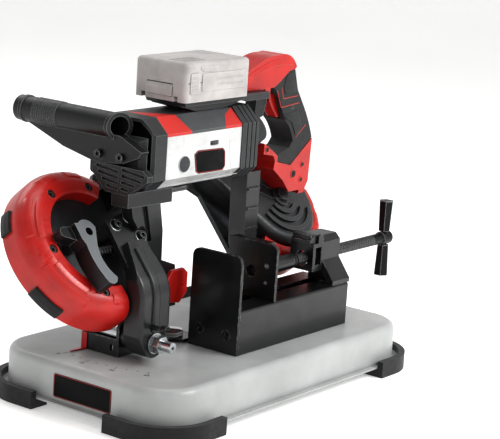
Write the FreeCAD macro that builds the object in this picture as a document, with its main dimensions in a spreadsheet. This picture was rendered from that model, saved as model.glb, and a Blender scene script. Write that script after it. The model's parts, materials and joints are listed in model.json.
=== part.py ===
import FreeCAD, Part
import math
import os

# Portable deep-cut band saw clamped in a bench stand.
# World axes: +X from the front (idler) wheel to the rear handle, +Y away from the vise,
# +Z up.  The base tray stands on rubber feet; the origin is the middle of the footprint.

V = FreeCAD.Vector
X_AXIS = V(1, 0, 0)
Y_AXIS = V(0, 1, 0)
Z_AXIS = V(0, 0, 1)

doc = FreeCAD.newDocument("band_saw")
sheet = doc.addObject("Spreadsheet::Sheet", "Sizes")

DRIVING = [
    ("footprint_x", 5.0, "tray centre to footprint centre, along X"),
    ("footprint_y", 7.0, "tray centre to footprint centre, along Y"),
    ("tray_length", 470), ("tray_width", 264), ("tray_bottom", 10.5), ("tray_top", 56.4),
    ("tray_corner", 50), ("tray_gauge", 2), ("flange_width", 8),
    ("foot_height", 20), ("foot_width", 26), ("foot_leg", 30),
    ("bed_length", 217), ("bed_width", 70.6), ("bed_top", 108.5), ("bed_gauge", 3),
    ("jaw_left", -64.5), ("jaw_front", -87), ("jaw_gauge", 4), ("fence_top", 172),
    ("vise_jaw_x", 3), ("vise_jaw_top", 176),
    ("screw_y", -51), ("screw_z", 139.5), ("screw_radius", 7), ("tee_x", 287), ("tee_length", 97),
    ("mitre_x", -60), ("mitre_y", 8), ("swivel_gauge", 4), ("swivel_gap", 0.4),
    ("pivot_x", -155), ("pivot_z", 79), ("pivot_radius", 6), ("running_fit", 0.05),
    ("loop_y", 57), ("loop_z", 166), ("loop_tilt", 50),
    ("band_radius", 75), ("band_width", 13), ("band_gauge", 0.65),
    ("front_wheel_x", -185), ("rear_wheel_x", 149.4), ("wheel_width", 16), ("axle_radius", 7.5),
    ("frame_back", 14), ("frame_face", 20), ("bumper_back", -6), ("bumper_face", 38),
    ("front_bumper_radius", 94), ("rear_bumper_radius", 82), ("bumper_wall", 3.5),
    ("motor_left", -132), ("motor_right", 3), ("motor_front", -24), ("motor_back", 60),
    ("motor_bottom", 246), ("shell_split", 306), ("motor_top", 326), ("motor_axis_z", 283),
    ("shell_wall", 3), ("lay_shaft_x", 58), ("lay_shaft_v", 66.1), ("gear_face", 10),
    ("cover_face", 48), ("drive_gear_teeth", 44), ("idler_gear_teeth", 28), ("pinion_teeth", 12),
    ("tooth_module", 2),
    ("battery_length", 118), ("battery_width", 76), ("battery_height", 45),
    ("battery_left", -100), ("mount_top", 340), ("handle_width", 34),
]
for row, entry in enumerate(DRIVING, start=1):
    sheet.set("A%d" % row, entry[0])
    sheet.set("B%d" % row, str(entry[1]))
    sheet.setAlias("B%d" % row, entry[0])
doc.recompute()
size = {entry[0]: float(entry[1]) for entry in DRIVING}


def bind(thing, **formulas):
    """Bind properties to spreadsheet formulas; sheet names are written bare."""
    for prop, formula in formulas.items():
        if not isinstance(formula, str):
            setattr(thing, prop, formula)
            continue
        words = sorted((w for w in size if w in formula), key=len, reverse=True)
        marked = formula
        for number, word in enumerate(words):
            marked = marked.replace(word, "@%d@" % number)
        for number, word in enumerate(words):
            marked = marked.replace("@%d@" % number, "Sizes." + word)
        thing.setExpression(prop, marked)
    return thing


# ---------------------------------------------------------------- placements

SHIFT = V(-size["footprint_x"], -size["footprint_y"], 0)
TILT = FreeCAD.Rotation(X_AXIS, size["loop_tilt"])
TO_X = FreeCAD.Rotation(Y_AXIS, 90)
TO_Y = FreeCAD.Rotation(X_AXIS, -90)
ACROSS = FreeCAD.Rotation(V(1, 1, 1), 120)
STRAIGHT = FreeCAD.Rotation()


def world(x=0, y=0, z=0, turn=STRAIGHT):
    """Placement of a piece from the tray centre on the ground."""
    return FreeCAD.Placement(V(x, y, z) + SHIFT, turn)


def loop(u=0, v=0, n=0, turn=STRAIGHT):
    """Placement in the blade loop's tilted plane: u along X, v up and back, n out to the front."""
    base = FreeCAD.Placement(V(0, size["loop_y"], size["loop_z"]) + SHIFT, TILT)
    return base.multiply(FreeCAD.Placement(V(u, v, n), turn))


# ---------------------------------------------------------------- building blocks

names = {"count": 0}


def fresh(stem):
    names["count"] += 1
    return "%s_%03d" % (stem, names["count"])


def box(place, length, width, height, at=(0, 0, 0)):
    thing = doc.addObject("Part::Box", fresh("block"))
    bind(thing, Length=length, Width=width, Height=height)
    thing.Placement = place.multiply(FreeCAD.Placement(V(*at), STRAIGHT))
    return thing


def rod(place, radius, height, at=(0, 0, 0), turn=STRAIGHT, angle=360):
    thing = doc.addObject("Part::Cylinder", fresh("rod"))
    bind(thing, Radius=radius, Height=height, Angle=angle)
    thing.Placement = place.multiply(FreeCAD.Placement(V(*at), turn))
    return thing


def cone(place, radius_low, radius_high, height, at=(0, 0, 0), turn=STRAIGHT):
    thing = doc.addObject("Part::Cone", fresh("cone"))
    bind(thing, Radius1=radius_low, Radius2=radius_high, Height=height)
    thing.Placement = place.multiply(FreeCAD.Placement(V(*at), turn))
    return thing


def hexagon(place, across, height, at=(0, 0, 0), turn=STRAIGHT):
    thing = doc.addObject("Part::Prism", fresh("hex"))
    bind(thing, Polygon=6, Circumradius=across / math.sqrt(3), Height=height)
    thing.Placement = place.multiply(FreeCAD.Placement(V(*at), turn))
    return thing


def join(*pieces):
    if len(pieces) == 1:
        return pieces[0]
    thing = doc.addObject("Part::MultiFuse", fresh("join"))
    thing.Shapes = list(pieces)
    return thing


def group(*pieces):
    thing = doc.addObject("Part::Compound", fresh("group"))
    thing.Links = list(pieces)
    return thing


def cut(base, *tools):
    thing = doc.addObject("Part::Cut", fresh("cut"))
    thing.Base = base
    thing.Tool = join(*tools)
    return thing


def overlap(first, second):
    thing = doc.addObject("Part::Common", fresh("common"))
    thing.Base = first
    thing.Tool = second
    return thing


def round_edges(base, radius, chooser):
    """Fillet the edges of a solid that the chooser accepts."""
    doc.recompute()
    edges = [i for i, e in enumerate(base.Shape.Edges, start=1) if chooser(e)]
    thing = doc.addObject("Part::Fillet", fresh("fillet"))
    thing.Base = base
    thing.Edges = [(i, radius, radius) for i in edges]
    return thing


def trace(sketch, points):
    """A closed outline: a point with a third value is the middle of an arc to the next point."""
    count = len(points)
    index = 0
    while index < count:
        start = V(*points[index][:2], 0)
        after = points[(index + 1) % count]
        via = V(*after[:2], 0)
        if len(after) == 3:
            end = V(*points[(index + 2) % count][:2], 0)
            sketch.addGeometry(Part.Arc(start, via, end), False)
            index += 2
        else:
            sketch.addGeometry(Part.LineSegment(start, via), False)
            index += 1


def slab(place, points, height, holes=(), turn=STRAIGHT, at=(0, 0, 0)):
    """A flat piece: a sketched outline with round holes, extruded along its own Z."""
    sketch = doc.addObject("Sketcher::SketchObject", fresh("outline"))
    trace(sketch, points)
    for x, y, radius in holes:
        sketch.addGeometry(Part.Circle(V(x, y, 0), Z_AXIS, radius), False)
    sketch.Placement = place.multiply(FreeCAD.Placement(V(*at), turn))
    thing = doc.addObject("Part::Extrusion", fresh("slab"))
    thing.Base = sketch
    thing.DirMode = "Normal"
    thing.Solid = True
    bind(thing, LengthFwd=height)
    return thing


def body(place, label=None):
    thing = doc.addObject("PartDesign::Body", label or fresh("body"))
    thing.Placement = place
    return thing


def plane_of(part, role):
    return [f for f in part.Origin.OriginFeatures if f.Role == role][0]


def sketch_on(part, role, shift=0.0):
    sketch = part.newObject("Sketcher::SketchObject", fresh("profile"))
    sketch.AttachmentSupport = [(plane_of(part, role), "")]
    sketch.MapMode = "FlatFace"
    sketch.AttachmentOffset = FreeCAD.Placement(V(0, 0, shift), STRAIGHT)
    return sketch


def pad(part, points, length, shift=0.0, role="XY_Plane", holes=()):
    sketch = sketch_on(part, role, shift)
    trace(sketch, points)
    for x, y, radius in holes:
        sketch.addGeometry(Part.Circle(V(x, y, 0), Z_AXIS, radius), False)
    feature = part.newObject("PartDesign::Pad", fresh("pad"))
    feature.Profile = sketch
    bind(feature, Length=length)
    part.Tip = feature
    return feature


def pocket(part, points, length, shift=0.0, role="XY_Plane", circles=(), up=True):
    """Cut an outline or circles from the sketch plane upwards (up) or downwards."""
    sketch = sketch_on(part, role, shift)
    if points:
        trace(sketch, points)
    for x, y, radius in circles:
        sketch.addGeometry(Part.Circle(V(x, y, 0), Z_AXIS, radius), False)
    feature = part.newObject("PartDesign::Pocket", fresh("pocket"))
    feature.Profile = sketch
    bind(feature, Length=length)
    feature.Reversed = up
    doc.recompute()
    before = feature.BaseFeature.Shape.Volume if feature.BaseFeature else 0
    if feature.Shape.isNull() or abs(feature.Shape.Volume - before) < 1e-6:
        raise RuntimeError("a pocket in %s cuts nothing" % part.Name)
    part.Tip = feature
    return feature


def turned(part, points, angle=360.0):
    """A piece turned about its own Z from a radius/height outline."""
    sketch = sketch_on(part, "XZ_Plane")
    trace(sketch, points)
    feature = part.newObject("PartDesign::Revolution", fresh("turned"))
    feature.Profile = sketch
    feature.ReferenceAxis = (sketch, ["V_Axis"])
    feature.Angle = angle
    part.Tip = feature
    return part


def soften(part, radius, chooser):
    """Fillet chosen edges of a body's last feature."""
    doc.recompute()
    tip = part.Tip
    edges = ["Edge%d" % i for i, e in enumerate(tip.Shape.Edges, start=1) if chooser(e)]
    feature = part.newObject("PartDesign::Fillet", fresh("soften"))
    feature.Base = (tip, edges)
    feature.Radius = radius
    part.Tip = feature
    return feature


def level_at(height):
    return lambda e: abs(e.BoundBox.ZMin - height) < 0.01 and abs(e.BoundBox.ZMax - height) < 0.01


def rounded(length, width, radius, x=0.0, y=0.0):
    """Outline of a rectangle with round corners about (x, y)."""
    a, b, k = length / 2, width / 2, radius * (1 - math.sqrt(0.5))
    return [(x - a + radius, y - b), (x + a - radius, y - b), (x + a - k, y - b + k, 0),
            (x + a, y - b + radius), (x + a, y + b - radius), (x + a - k, y + b - k, 0),
            (x + a - radius, y + b), (x - a + radius, y + b), (x - a + k, y + b - k, 0),
            (x - a, y + b - radius), (x - a, y - b + radius), (x - a + k, y - b + k, 0)]


def rect(x0, y0, x1, y1):
    return [(x0, y0), (x1, y0), (x1, y1), (x0, y1)]


def slot(x0, x1, y, radius):
    return [(x0, y - radius), (x1, y - radius), (x1 + radius, y, 0), (x1, y + radius),
            (x0, y + radius), (x0 - radius, y, 0)]


def polar(radius, degrees, x=0.0, y=0.0):
    return (x + radius * math.cos(math.radians(degrees)), y + radius * math.sin(math.radians(degrees)))


def hull_of_circles(x0, y0, r0, x1, y1, r1):
    """Outline of two circles and their outer tangents, counter-clockwise."""
    along = math.atan2(y1 - y0, x1 - x0)
    gap = math.hypot(x1 - x0, y1 - y0)
    lean = math.acos((r0 - r1) / gap)
    low, high = math.degrees(along - lean), math.degrees(along + lean)
    tail = polar(r0, math.degrees(along) + 180, x0, y0)
    nose = polar(r1, math.degrees(along), x1, y1)
    return [polar(r0, low, x0, y0), polar(r1, low, x1, y1), nose + (0,),
            polar(r1, high, x1, y1), polar(r0, high, x0, y0), tail + (0,)]


def toothed(place, teeth, height, at, bore):
    """A straight-toothed gear blank whose tips lie on the pitch circle."""
    module = size["tooth_module"]
    tip = teeth * module / 2
    root = tip - 1.9 * module
    points = []
    for tooth in range(teeth):
        middle = 360.0 * tooth / teeth
        quarter = 90.0 / teeth
        points.append(polar(root, middle - 1.35 * quarter))
        points.append(polar(tip, middle - 0.6 * quarter))
        points.append(polar(tip, middle + 0.6 * quarter))
        points.append(polar(root, middle + 1.35 * quarter))
    return slab(place, points, height, holes=[(0, 0, bore)] if bore else (), at=at)


def socket_screw(place, head, length, shank=2.6, head_height=5.0, turn=STRAIGHT, at=(0, 0, 0)):
    """A hexagon-socket screw; its head's seat is at the local origin and the shank runs down."""
    spot = place.multiply(FreeCAD.Placement(V(*at), turn))
    head_part = rod(spot, head, head_height)
    shank_part = rod(spot, shank, length, at=(0, 0, -length))
    return cut(join(head_part, shank_part), hexagon(spot, head, 3.0, at=(0, 0, head_height - 3.0)))


nodes = {}


def node(label, thing):
    """Name a finished sub-part; its label is its file name."""
    thing.Label = label
    nodes[label] = thing
    return thing


U_FRONT, U_REAR = size["front_wheel_x"], size["rear_wheel_x"]
FACE, BACK = size["frame_face"], size["frame_back"]
FIT = size["running_fit"]
PIVOT = size["pivot_radius"]
ARM_BACK = FACE + 25.2
ARM_PLATE = 5.8
LEVER_SPOT = (-216, 0)
HANDLE_SPOT = (-169.5, -60, 316)
STUB_SPOT = (-185, -13)


# ================================================================ stand

def base_tray():
    """Deep-drawn sheet tray with a turned-out foot flange."""
    length, width, gauge = size["tray_length"], size["tray_width"], size["tray_gauge"]
    corner, low, top = size["tray_corner"], size["tray_bottom"], size["tray_top"]
    wide = size["flange_width"]
    outer = body(world())
    pad(outer, rounded(length, width, corner), "tray_top - tray_bottom", low)
    soften(outer, 9.0, level_at(top))
    inner = body(world())
    pad(inner, rounded(length - 2 * gauge, width - 2 * gauge, corner - gauge),
        "tray_top - tray_bottom - tray_gauge + 5", low - 5)
    soften(inner, 9.0 - gauge, level_at(top - gauge))
    flange = body(world())
    pad(flange, rounded(length + 2 * wide, width + 2 * wide, corner + wide), "tray_gauge", low)
    holes = [rod(world(x, y, 0), 2.1, 20) for x, y in foot_screw_spots()]
    holes += [rod(world(x, y, top - 10), 3.1, 20) for x, y in bed_bolt_spots()]
    pivot = world(size["mitre_x"], size["mitre_y"], top - 10)
    holes.append(rod(pivot, "pivot_radius + running_fit", 20))
    return cut(join(outer, flange), inner, *holes)


def corner_frames():
    """The four tray corners: centre of the corner round and its quarter turn."""
    a = size["tray_length"] / 2 - size["tray_corner"]
    b = size["tray_width"] / 2 - size["tray_corner"]
    return [(a, b, 0), (-a, b, 90), (-a, -b, 180), (a, -b, 270)]


def foot_screw_spots():
    spots = []
    reach = size["tray_corner"] + size["flange_width"] / 2
    leg = size["foot_leg"] - 12
    for x, y, turn in corner_frames():
        spin = FreeCAD.Rotation(Z_AXIS, turn)
        for local in (V(reach, -leg, 0), V(-leg, reach, 0)):
            spot = spin.multVec(local) + V(x, y, 0)
            spots.append((spot.x, spot.y))
    return spots


def bed_bolt_spots():
    left, front = size["jaw_left"], size["jaw_front"]
    return [(left + x, front + y) for x in (30.0, 190.0) for y in (14.0, 56.0)]


def rubber_feet():
    """Four corner feet: a sole under the flange with an outer lip round it."""
    low, corner = size["tray_bottom"], size["tray_corner"]
    lip = corner + size["flange_width"] + 0.2
    outer = corner + size["flange_width"] + 8
    inner = outer - size["foot_width"]
    leg = size["foot_leg"]
    feet = []
    for x, y, turn in corner_frames():
        place = world(x, y, 0, FreeCAD.Rotation(Z_AXIS, turn))
        quarter = cut(rod(place, outer, "foot_height", angle=90),
                      rod(place, inner, 40, angle=90, at=(0, 0, -5)))
        legs = [box(place, outer - inner, leg, "foot_height", at=(inner, -leg, 0)),
                box(place, leg, outer - inner, "foot_height", at=(-leg, inner, 0))]
        rest = [rod(place, lip, 20, angle=90, at=(0, 0, low)),
                box(place, lip, leg + 1, 20, at=(0, -leg - 1, low)),
                box(place, leg + 1, lip, 20, at=(-leg - 1, 0, low))]
        feet.append(cut(join(quarter, *legs), *rest))
    holes = [rod(world(x, y, -1), 2.1, 20) for x, y in foot_screw_spots()]
    return cut(group(*feet), *holes)


def base_fasteners():
    """Pan screws of the feet and hexagon bolts of the vise bed."""
    seat = size["tray_bottom"] + size["tray_gauge"]
    screws = []
    for x, y in foot_screw_spots():
        place = world(x, y, 0)
        screw = join(rod(place, 3.8, 2.6, at=(0, 0, seat)), rod(place, 2.0, 9.5, at=(0, 0, seat - 9.5)))
        screws.append(cut(screw, box(place, 5.0, 0.9, 1.4, at=(-2.5, -0.45, seat + 1.3)),
                          box(place, 0.9, 5.0, 1.4, at=(-0.45, -2.5, seat + 1.3))))
    for x, y in bed_bolt_spots():
        place = world(x, y, size["tray_top"] - size["tray_gauge"])
        bolt = join(hexagon(place, 10, 4.0, at=(0, 0, -4.0)), rod(place, 3.0, 12.0))
        screws.append(bolt)
        screws.append(cut(hexagon(place, 10, 5.0, at=(0, 0, 5.0)), rod(place, 3.0, 8, at=(0, 0, 4))))
    return group(*screws)


def vise_bed():
    """Folded sheet box that carries the vise, with a guide slot along its top."""
    left = size["jaw_left"] + size["jaw_gauge"] + 0.1
    front, top, base = size["jaw_front"], size["bed_top"], size["tray_top"]
    length, width, gauge = size["bed_length"], size["bed_width"], size["bed_gauge"]
    part = body(world(left, front, base))
    pad(part, rect(0, 0, length, width), "bed_top - tray_top")
    soften(part, 3.0, lambda e: abs(e.BoundBox.ZMin - (top - base)) < 0.01 and e.BoundBox.XLength > 100)
    pocket(part, rect(gauge, gauge, length - gauge, width - gauge), top - base - gauge)
    pocket(part, slot(9.4, 200.0, size["screw_y"] - front, 6.5), 10, top - base - 5)
    pad(part, rect(gauge, gauge, length - gauge, 22), "bed_gauge")
    pad(part, rect(gauge, width - 22, length - gauge, width - gauge), "bed_gauge")
    bolts = [(x - left, y - front, 3.1) for x, y in bed_bolt_spots()]
    pocket(part, None, gauge + 2, -1, circles=bolts)
    return part


def fixed_jaw():
    """Fence plate bolted to the bed's end."""
    place = world(size["jaw_left"], size["jaw_front"], size["tray_top"] + 0.2, ACROSS)
    width, height = size["bed_width"], size["fence_top"] - size["tray_top"]
    r = 10.0
    k = r * (1 - math.sqrt(0.5))
    part = body(place)
    outline = [(0, 0), (width, 0), (width, height - r), (width - k, height - k, 0), (width - r, height),
               (r, height), (k, height - k, 0), (0, height - r)]
    pad(part, outline, "jaw_gauge", holes=[(16, 22, 3.1), (width - 16, 22, 3.1)])
    pocket(part, None, 2.0, circles=[(16, 22, 5.8), (width - 16, 22, 5.8)])
    return part


def nut_bracket():
    """Folded bracket at the bed's end with the nut block and an open guard box."""
    bed = size["bed_top"] + 0.1
    front, y, z = size["jaw_front"], size["screw_y"], size["screw_z"]
    profile = [(front + 1, bed), (front + 24, bed), (front + 24, bed + 4), (front + 10, bed + 4),
               (y - 13, z - 4), (y - 13, z + 18), (y - 8, z + 23), (y + 13, z + 23), (y + 13, z + 27),
               (y - 10, z + 27), (y - 17, z + 20), (y - 17, z - 2), (front + 1, bed + 5)]
    sheet_part = slab(world(124, 0, 0, ACROSS), profile, 36)
    nut = box(world(140, y - 13, z - 13), 20, 26, 26)
    cheek_outline = [(y - 13, z - 4), (y + 13, z - 4), (y + 13, z + 23), (y - 8, z + 23), (y - 13, z + 18)]
    cheek = slab(world(124, 0, 0, ACROSS), cheek_outline, 4)
    guard = box(world(104, y - 17, z - 14), 20, 34, 34)
    guard_inside = box(world(107, y - 13.5, z - 10.5), 30, 27, 27)
    window = box(world(109, y - 20, z - 7), 12, 20, 22)
    pillar = box(world(140, y - 13, bed), 20, 26, z - 13 - bed)
    bore = rod(world(90, y, z, TO_X), "screw_radius + 0.3", 90)
    sleeve_way = rod(world(90, y, z, TO_X), 9.6, 49.5)
    lever_room = box(world(100, y - 18, z + 20), 24.2, 40, 10)
    whole = join(sheet_part, cheek, nut, guard, pillar)
    whole = cut(whole, guard_inside, window, bore, sleeve_way, lever_room)
    lugs = [box(world(114, y + side, z + 18), 10, 2.5, 11) for side in (-17, 14.5)]
    pin = rod(world(119, y - 17, z + 25.4, TO_Y), 2.0, 34)
    whole = join(whole, pin, *lugs)
    bolt_place = world(146, front + 15, bed + 4)
    bolt_hole = rod(bolt_place, 3.05, 20, at=(0, 0, -10))
    return cut(whole, bolt_hole)


def movable_jaw():
    """Jaw plate with its screw sleeve and the tongue that runs in the bed's slot."""
    x, y, z = size["vise_jaw_x"], size["screw_y"], size["screw_z"]
    bed, front = size["bed_top"] + 0.4, size["jaw_front"]
    width, height = size["bed_width"] - 1, size["vise_jaw_top"] - bed
    r = 9.0
    k = r * (1 - math.sqrt(0.5))
    outline = [(0, 0), (width, 0), (width, height), (r, height), (k, height - k, 0), (0, height - r)]
    plate = slab(world(x, front + 0.5, bed, ACROSS), outline, "jaw_gauge",
                 holes=[(14, 20, 2.2), (14, 40, 3.0), (width - 12, 40, 3.0)])
    lip = box(world(x, front + 14, bed + height - 4), 14, width - 16, 4)
    sleeve = rod(world(x + 4, y, z, TO_X), 9.2, 71)
    tongue = box(world(x + 9, y - 5.8, size["bed_top"] - 8), 28, 11.6, 12)
    keeper = box(world(x + 9, y - 14, size["bed_top"] - 8), 28, 28, 4.4)
    gusset = slab(world(x + 4, y + 3, bed, FreeCAD.Rotation(X_AXIS, 90)),
                  [(0, 0), (40, 0), (40, 5), (0, 28)], 6)
    bore = rod(world(x - 5, y, z, TO_X), "screw_radius + 0.05", 100)
    return cut(join(plate, lip, sleeve, tongue, keeper, gusset), bore)


def vise_screw():
    """Lead screw: plain nose in the jaw's sleeve, collar, thread and handle boss."""
    y, z = size["screw_y"], size["screw_z"]
    start = size["vise_jaw_x"] + 4
    shaft = rod(world(start, y, z, TO_X), "screw_radius", size["tee_x"] - 9 - start)
    collar = rod(world(start + 71.4, y, z, TO_X), 8.8, 5)
    boss = rod(world(size["tee_x"] - 9, y, z, TO_X), 8.5, 18)
    groove_tools = [cut(rod(world(start + 84 + 4.0 * i, y, z, TO_X), 8, 1.4),
                        rod(world(start + 83 + 4.0 * i, y, z, TO_X), 6.3, 4)) for i in range(42)]
    bar_hole = rod(world(size["tee_x"], y, z - 20), 4.7, 40)
    return cut(join(shaft, collar, boss), bar_hole, *groove_tools)


def tapered_hexagon(place, across_low, across_high, height):
    """Six-sided grip that widens from its foot to its head."""
    rings = []
    for across, rise in ((across_low, 0), (across_high, height)):
        ring = doc.addObject("Part::RegularPolygon", fresh("ring"))
        bind(ring, Polygon=6, Circumradius=across / math.sqrt(3))
        ring.Placement = place.multiply(FreeCAD.Placement(V(0, 0, rise), STRAIGHT))
        rings.append(ring)
    grip = doc.addObject("Part::Loft", fresh("grip"))
    grip.Sections = rings
    grip.Solid = True
    grip.Ruled = True
    return grip


def tee_handle():
    """Cross bar with two tapered six-sided grips."""
    y, z = size["screw_y"], size["screw_z"]
    half = size["tee_length"] / 2
    bar = rod(world(size["tee_x"], y, z - half + 6), 4.6, "tee_length - 12")
    grips = []
    for start in (0, 180):
        turn = FreeCAD.Rotation(X_AXIS, start).multiply(FreeCAD.Rotation(Z_AXIS, 30))
        spot = world(size["tee_x"], y, z, turn)
        lifted = spot.multiply(FreeCAD.Placement(V(0, 0, 9.2), STRAIGHT))
        grips.append(tapered_hexagon(lifted, 13.6, 16.8, half - 9))
    return join(bar, *grips)


def quick_release():
    """Half-nut lever hinged over the guard box."""
    y, z = size["screw_y"], size["screw_z"] + 20.4
    turn = FreeCAD.Rotation(X_AXIS, 90)
    outline = [(100, 0), (119, 0.2), (122.5, 1.6, 0), (123.8, 5), (122.5, 8.4, 0), (119, 9.8), (108, 9),
               (100, 4)]
    plate = slab(world(0, y + 14, z, turn), outline, 28)
    ribs = [box(world(102 + 4.5 * i, y - 13.5, z + 5.6), 1.6, 27, 4.2) for i in range(4)]
    pin_hole = rod(world(119, y - 20, z + 5, TO_Y), 2.05, 40)
    return cut(join(plate, *ribs), pin_hole)


def swivel_plate():
    """Mitre bracket: base sheet, front skirt and two pivot ears."""
    low = size["tray_top"] + size["swivel_gap"]
    gauge = size["swivel_gauge"]
    mx, my = size["mitre_x"], size["mitre_y"]
    px, pz = size["pivot_x"], size["pivot_z"]
    outline = [(px - 16, -2), (mx - 12, -2), (mx - 8, my - 20), (mx + 6, my - 21), (mx + 22, my, 0),
               (mx + 6, my + 21), (mx - 20, my + 34), (mx - 40, 52), (px - 16, 52)]
    floor = slab(world(0, 0, low), outline, "swivel_gauge", holes=[(mx, my, PIVOT + 0.1)])
    skirt = box(world(px - 16, -2, low), 4, 54, 19)
    ear_outline = [(px - 16, low), (px + 28, low), (px + 28, low + 10), (px + 14, pz + 14),
                   (px + 6, pz + 21), (px - 8, pz + 21), (px - 16, pz + 12)]
    turn = FreeCAD.Rotation(X_AXIS, 90)
    ears = []
    for y in (-2 + gauge, 52):
        ears.append(slab(world(0, y, 0, turn), ear_outline, "swivel_gauge", holes=[(px, pz, PIVOT + 0.05)]))
    slot_cut = slab(world(px - 20, 0, low + 9, TO_X), slot(-1.6, 1.6, 8, 2.4), 10)
    return cut(join(floor, skirt, *ears), slot_cut)


def swivel_pivot():
    """Mitre bolt through the bracket and the tray, with washer and locking nut below."""
    top = size["tray_top"] + size["swivel_gap"] + size["swivel_gauge"]
    under = size["tray_top"] - size["tray_gauge"]
    place = world(size["mitre_x"], size["mitre_y"], 0)
    bolt = join(hexagon(place, 18, 7, at=(0, 0, top + 0.1)),
                rod(place, "pivot_radius", 27, at=(0, 0, top - 26)))
    washer = cut(rod(place, 12, 1.6, at=(0, 0, under - 2.0)), rod(place, PIVOT, 5, at=(0, 0, under - 3)))
    nut = cut(hexagon(place, 18, 9, at=(0, 0, under - 11.2)),
              rod(place, PIVOT, 20, at=(0, 0, under - 15)))
    return group(bolt, washer, nut)


def mitre_pointer():
    """Bent indicator that reads the angle scale."""
    low = size["tray_top"] + 0.5
    x = size["pivot_x"] - 16.2
    finger = slab(world(0, 0, low), [(x - 24, 47.2), (x, 44), (x, 52), (x - 24, 48.2)], 1.2)
    strip = box(world(x - 1.2, 44, low), 1.2, 8, 19)
    return join(finger, strip)


def head_pivot():
    """Pivot bolt of the saw head with spacer tube, washers and lock nut."""
    x, z = size["pivot_x"], size["pivot_z"]
    bolt = join(rod(world(x, -67, z, TO_Y), "pivot_radius", 127),
                hexagon(world(x, 52.2, z, TO_Y), 18, 7.5))
    bolt = cut(bolt, rod(world(x, -67.5, z, TO_Y), 2.0, 3))
    washer = cut(rod(world(x, -42.2, z, TO_Y), 12, 1.8), rod(world(x, -44, z, TO_Y), PIVOT, 6))
    nut = cut(hexagon(world(x, -52.4, z, TO_Y), 18, 10), rod(world(x, -54, z, TO_Y), PIVOT, 14))
    spacer = cut(rod(world(x, 2.2, z, TO_Y), 10, 45.6), rod(world(x, 0, z, TO_Y), PIVOT, 50))
    return group(bolt, washer, nut, spacer)


def lock_screw():
    """Wing screw that clamps the arm at its height."""
    x, z = size["pivot_x"] - 5, size["pivot_z"] + 19.5
    stem = join(rod(world(x, -60, z, TO_Y), 3.0, 42), rod(world(x, -62, z, TO_Y), 5.2, 8))
    wing = slab(world(x, -61, z - 2),
                [(-7, 1), (-12, -8), (-9, -15, 0), (0, -17), (9, -15, 0), (12, -8), (7, 1)], 4)
    return join(stem, wing)


# ================================================================ saw head

def support_arm():
    """Cast arm: bolted head plate, bent beam with a raised rib, rounded foot with the pivot boss."""
    px, pz = size["pivot_x"], size["pivot_z"]
    left, right = px - 23, px + 27
    bend = [(-40, 50), (-40, 128), (-37, 143.5, 0), (-28, 157.7), (-2, 188.8), (9.4, 179.4), (-12, 153.9),
            (-13.6, 149.5, 0), (-14, 145), (-14, 50)]
    strip = slab(world(left, 0, 0, ACROSS), bend, right - left)
    strip = round_edges(strip, 5.0, lambda e: e.BoundBox.XLength < 0.01 and on_front(e))
    front = [(left - 2, pz + 14), (left + 3, pz), (px - 12, pz - 13), (px, pz - 17, 0), (px + 12, pz - 13),
             (right - 3, pz), (right + 2, pz + 16), (right + 2, 140), (right - 10, 190), (left + 14, 190),
             (left + 7, 170), (left - 2, 146)]
    casting = overlap(strip, slab(world(0, 20, 0, FreeCAD.Rotation(X_AXIS, 90)), front, 70))
    boss = rod(world(px, -14.5, pz, TO_Y), 14, 11.8)
    plate = slab(loop(n=ARM_BACK), arm_plate_outline(), ARM_PLATE)
    raised = [(-43, 92), (-43, 128), (-40, 144, 0), (-30.5, 160.2), (-11, 183.5), (-6, 178), (-20, 150),
              (-30, 92)]
    rib = slab(world(left + 17, 0, 0, ACROSS), raised, 11)
    rib = round_edges(rib, 2.4, lambda e: e.BoundBox.XLength < 0.01 and on_front(e))
    bores = [rod(world(px, -60, pz, TO_Y), PIVOT + FIT, 80),
             rod(world(px - 5, -60, pz + 19.5, TO_Y), 3.05, 60)]
    whole = join(casting, boss, plate, rib)
    nut_seat = rod(world(px, -60, pz, TO_Y), 13, 19.8)
    return cut(whole, nut_seat, *bores, *[rod(loop(u, v, 0), 3.0, 80) for u, v in arm_bolt_spots()])


def on_front(edge):
    """Whether an edge of the arm's side outline lies on its vise side."""
    middle = edge.CenterOfMass - SHIFT
    return middle.y < -35 or 149.7 + 1.196 * (middle.y + 28) < middle.z < 179


def arm_plate_outline(grow=0.0):
    g = grow
    return [(-171 - g, 12 + g), (-138, 19 + g), (-125 + g, 11 + g), (-123 + g, -22),
            (-127 + g, -50 - g), (-174 - g, -50 - g)]


def arm_bolt_spots():
    return [(-160, 5), (-135, 11), (-130, -14)]


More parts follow.
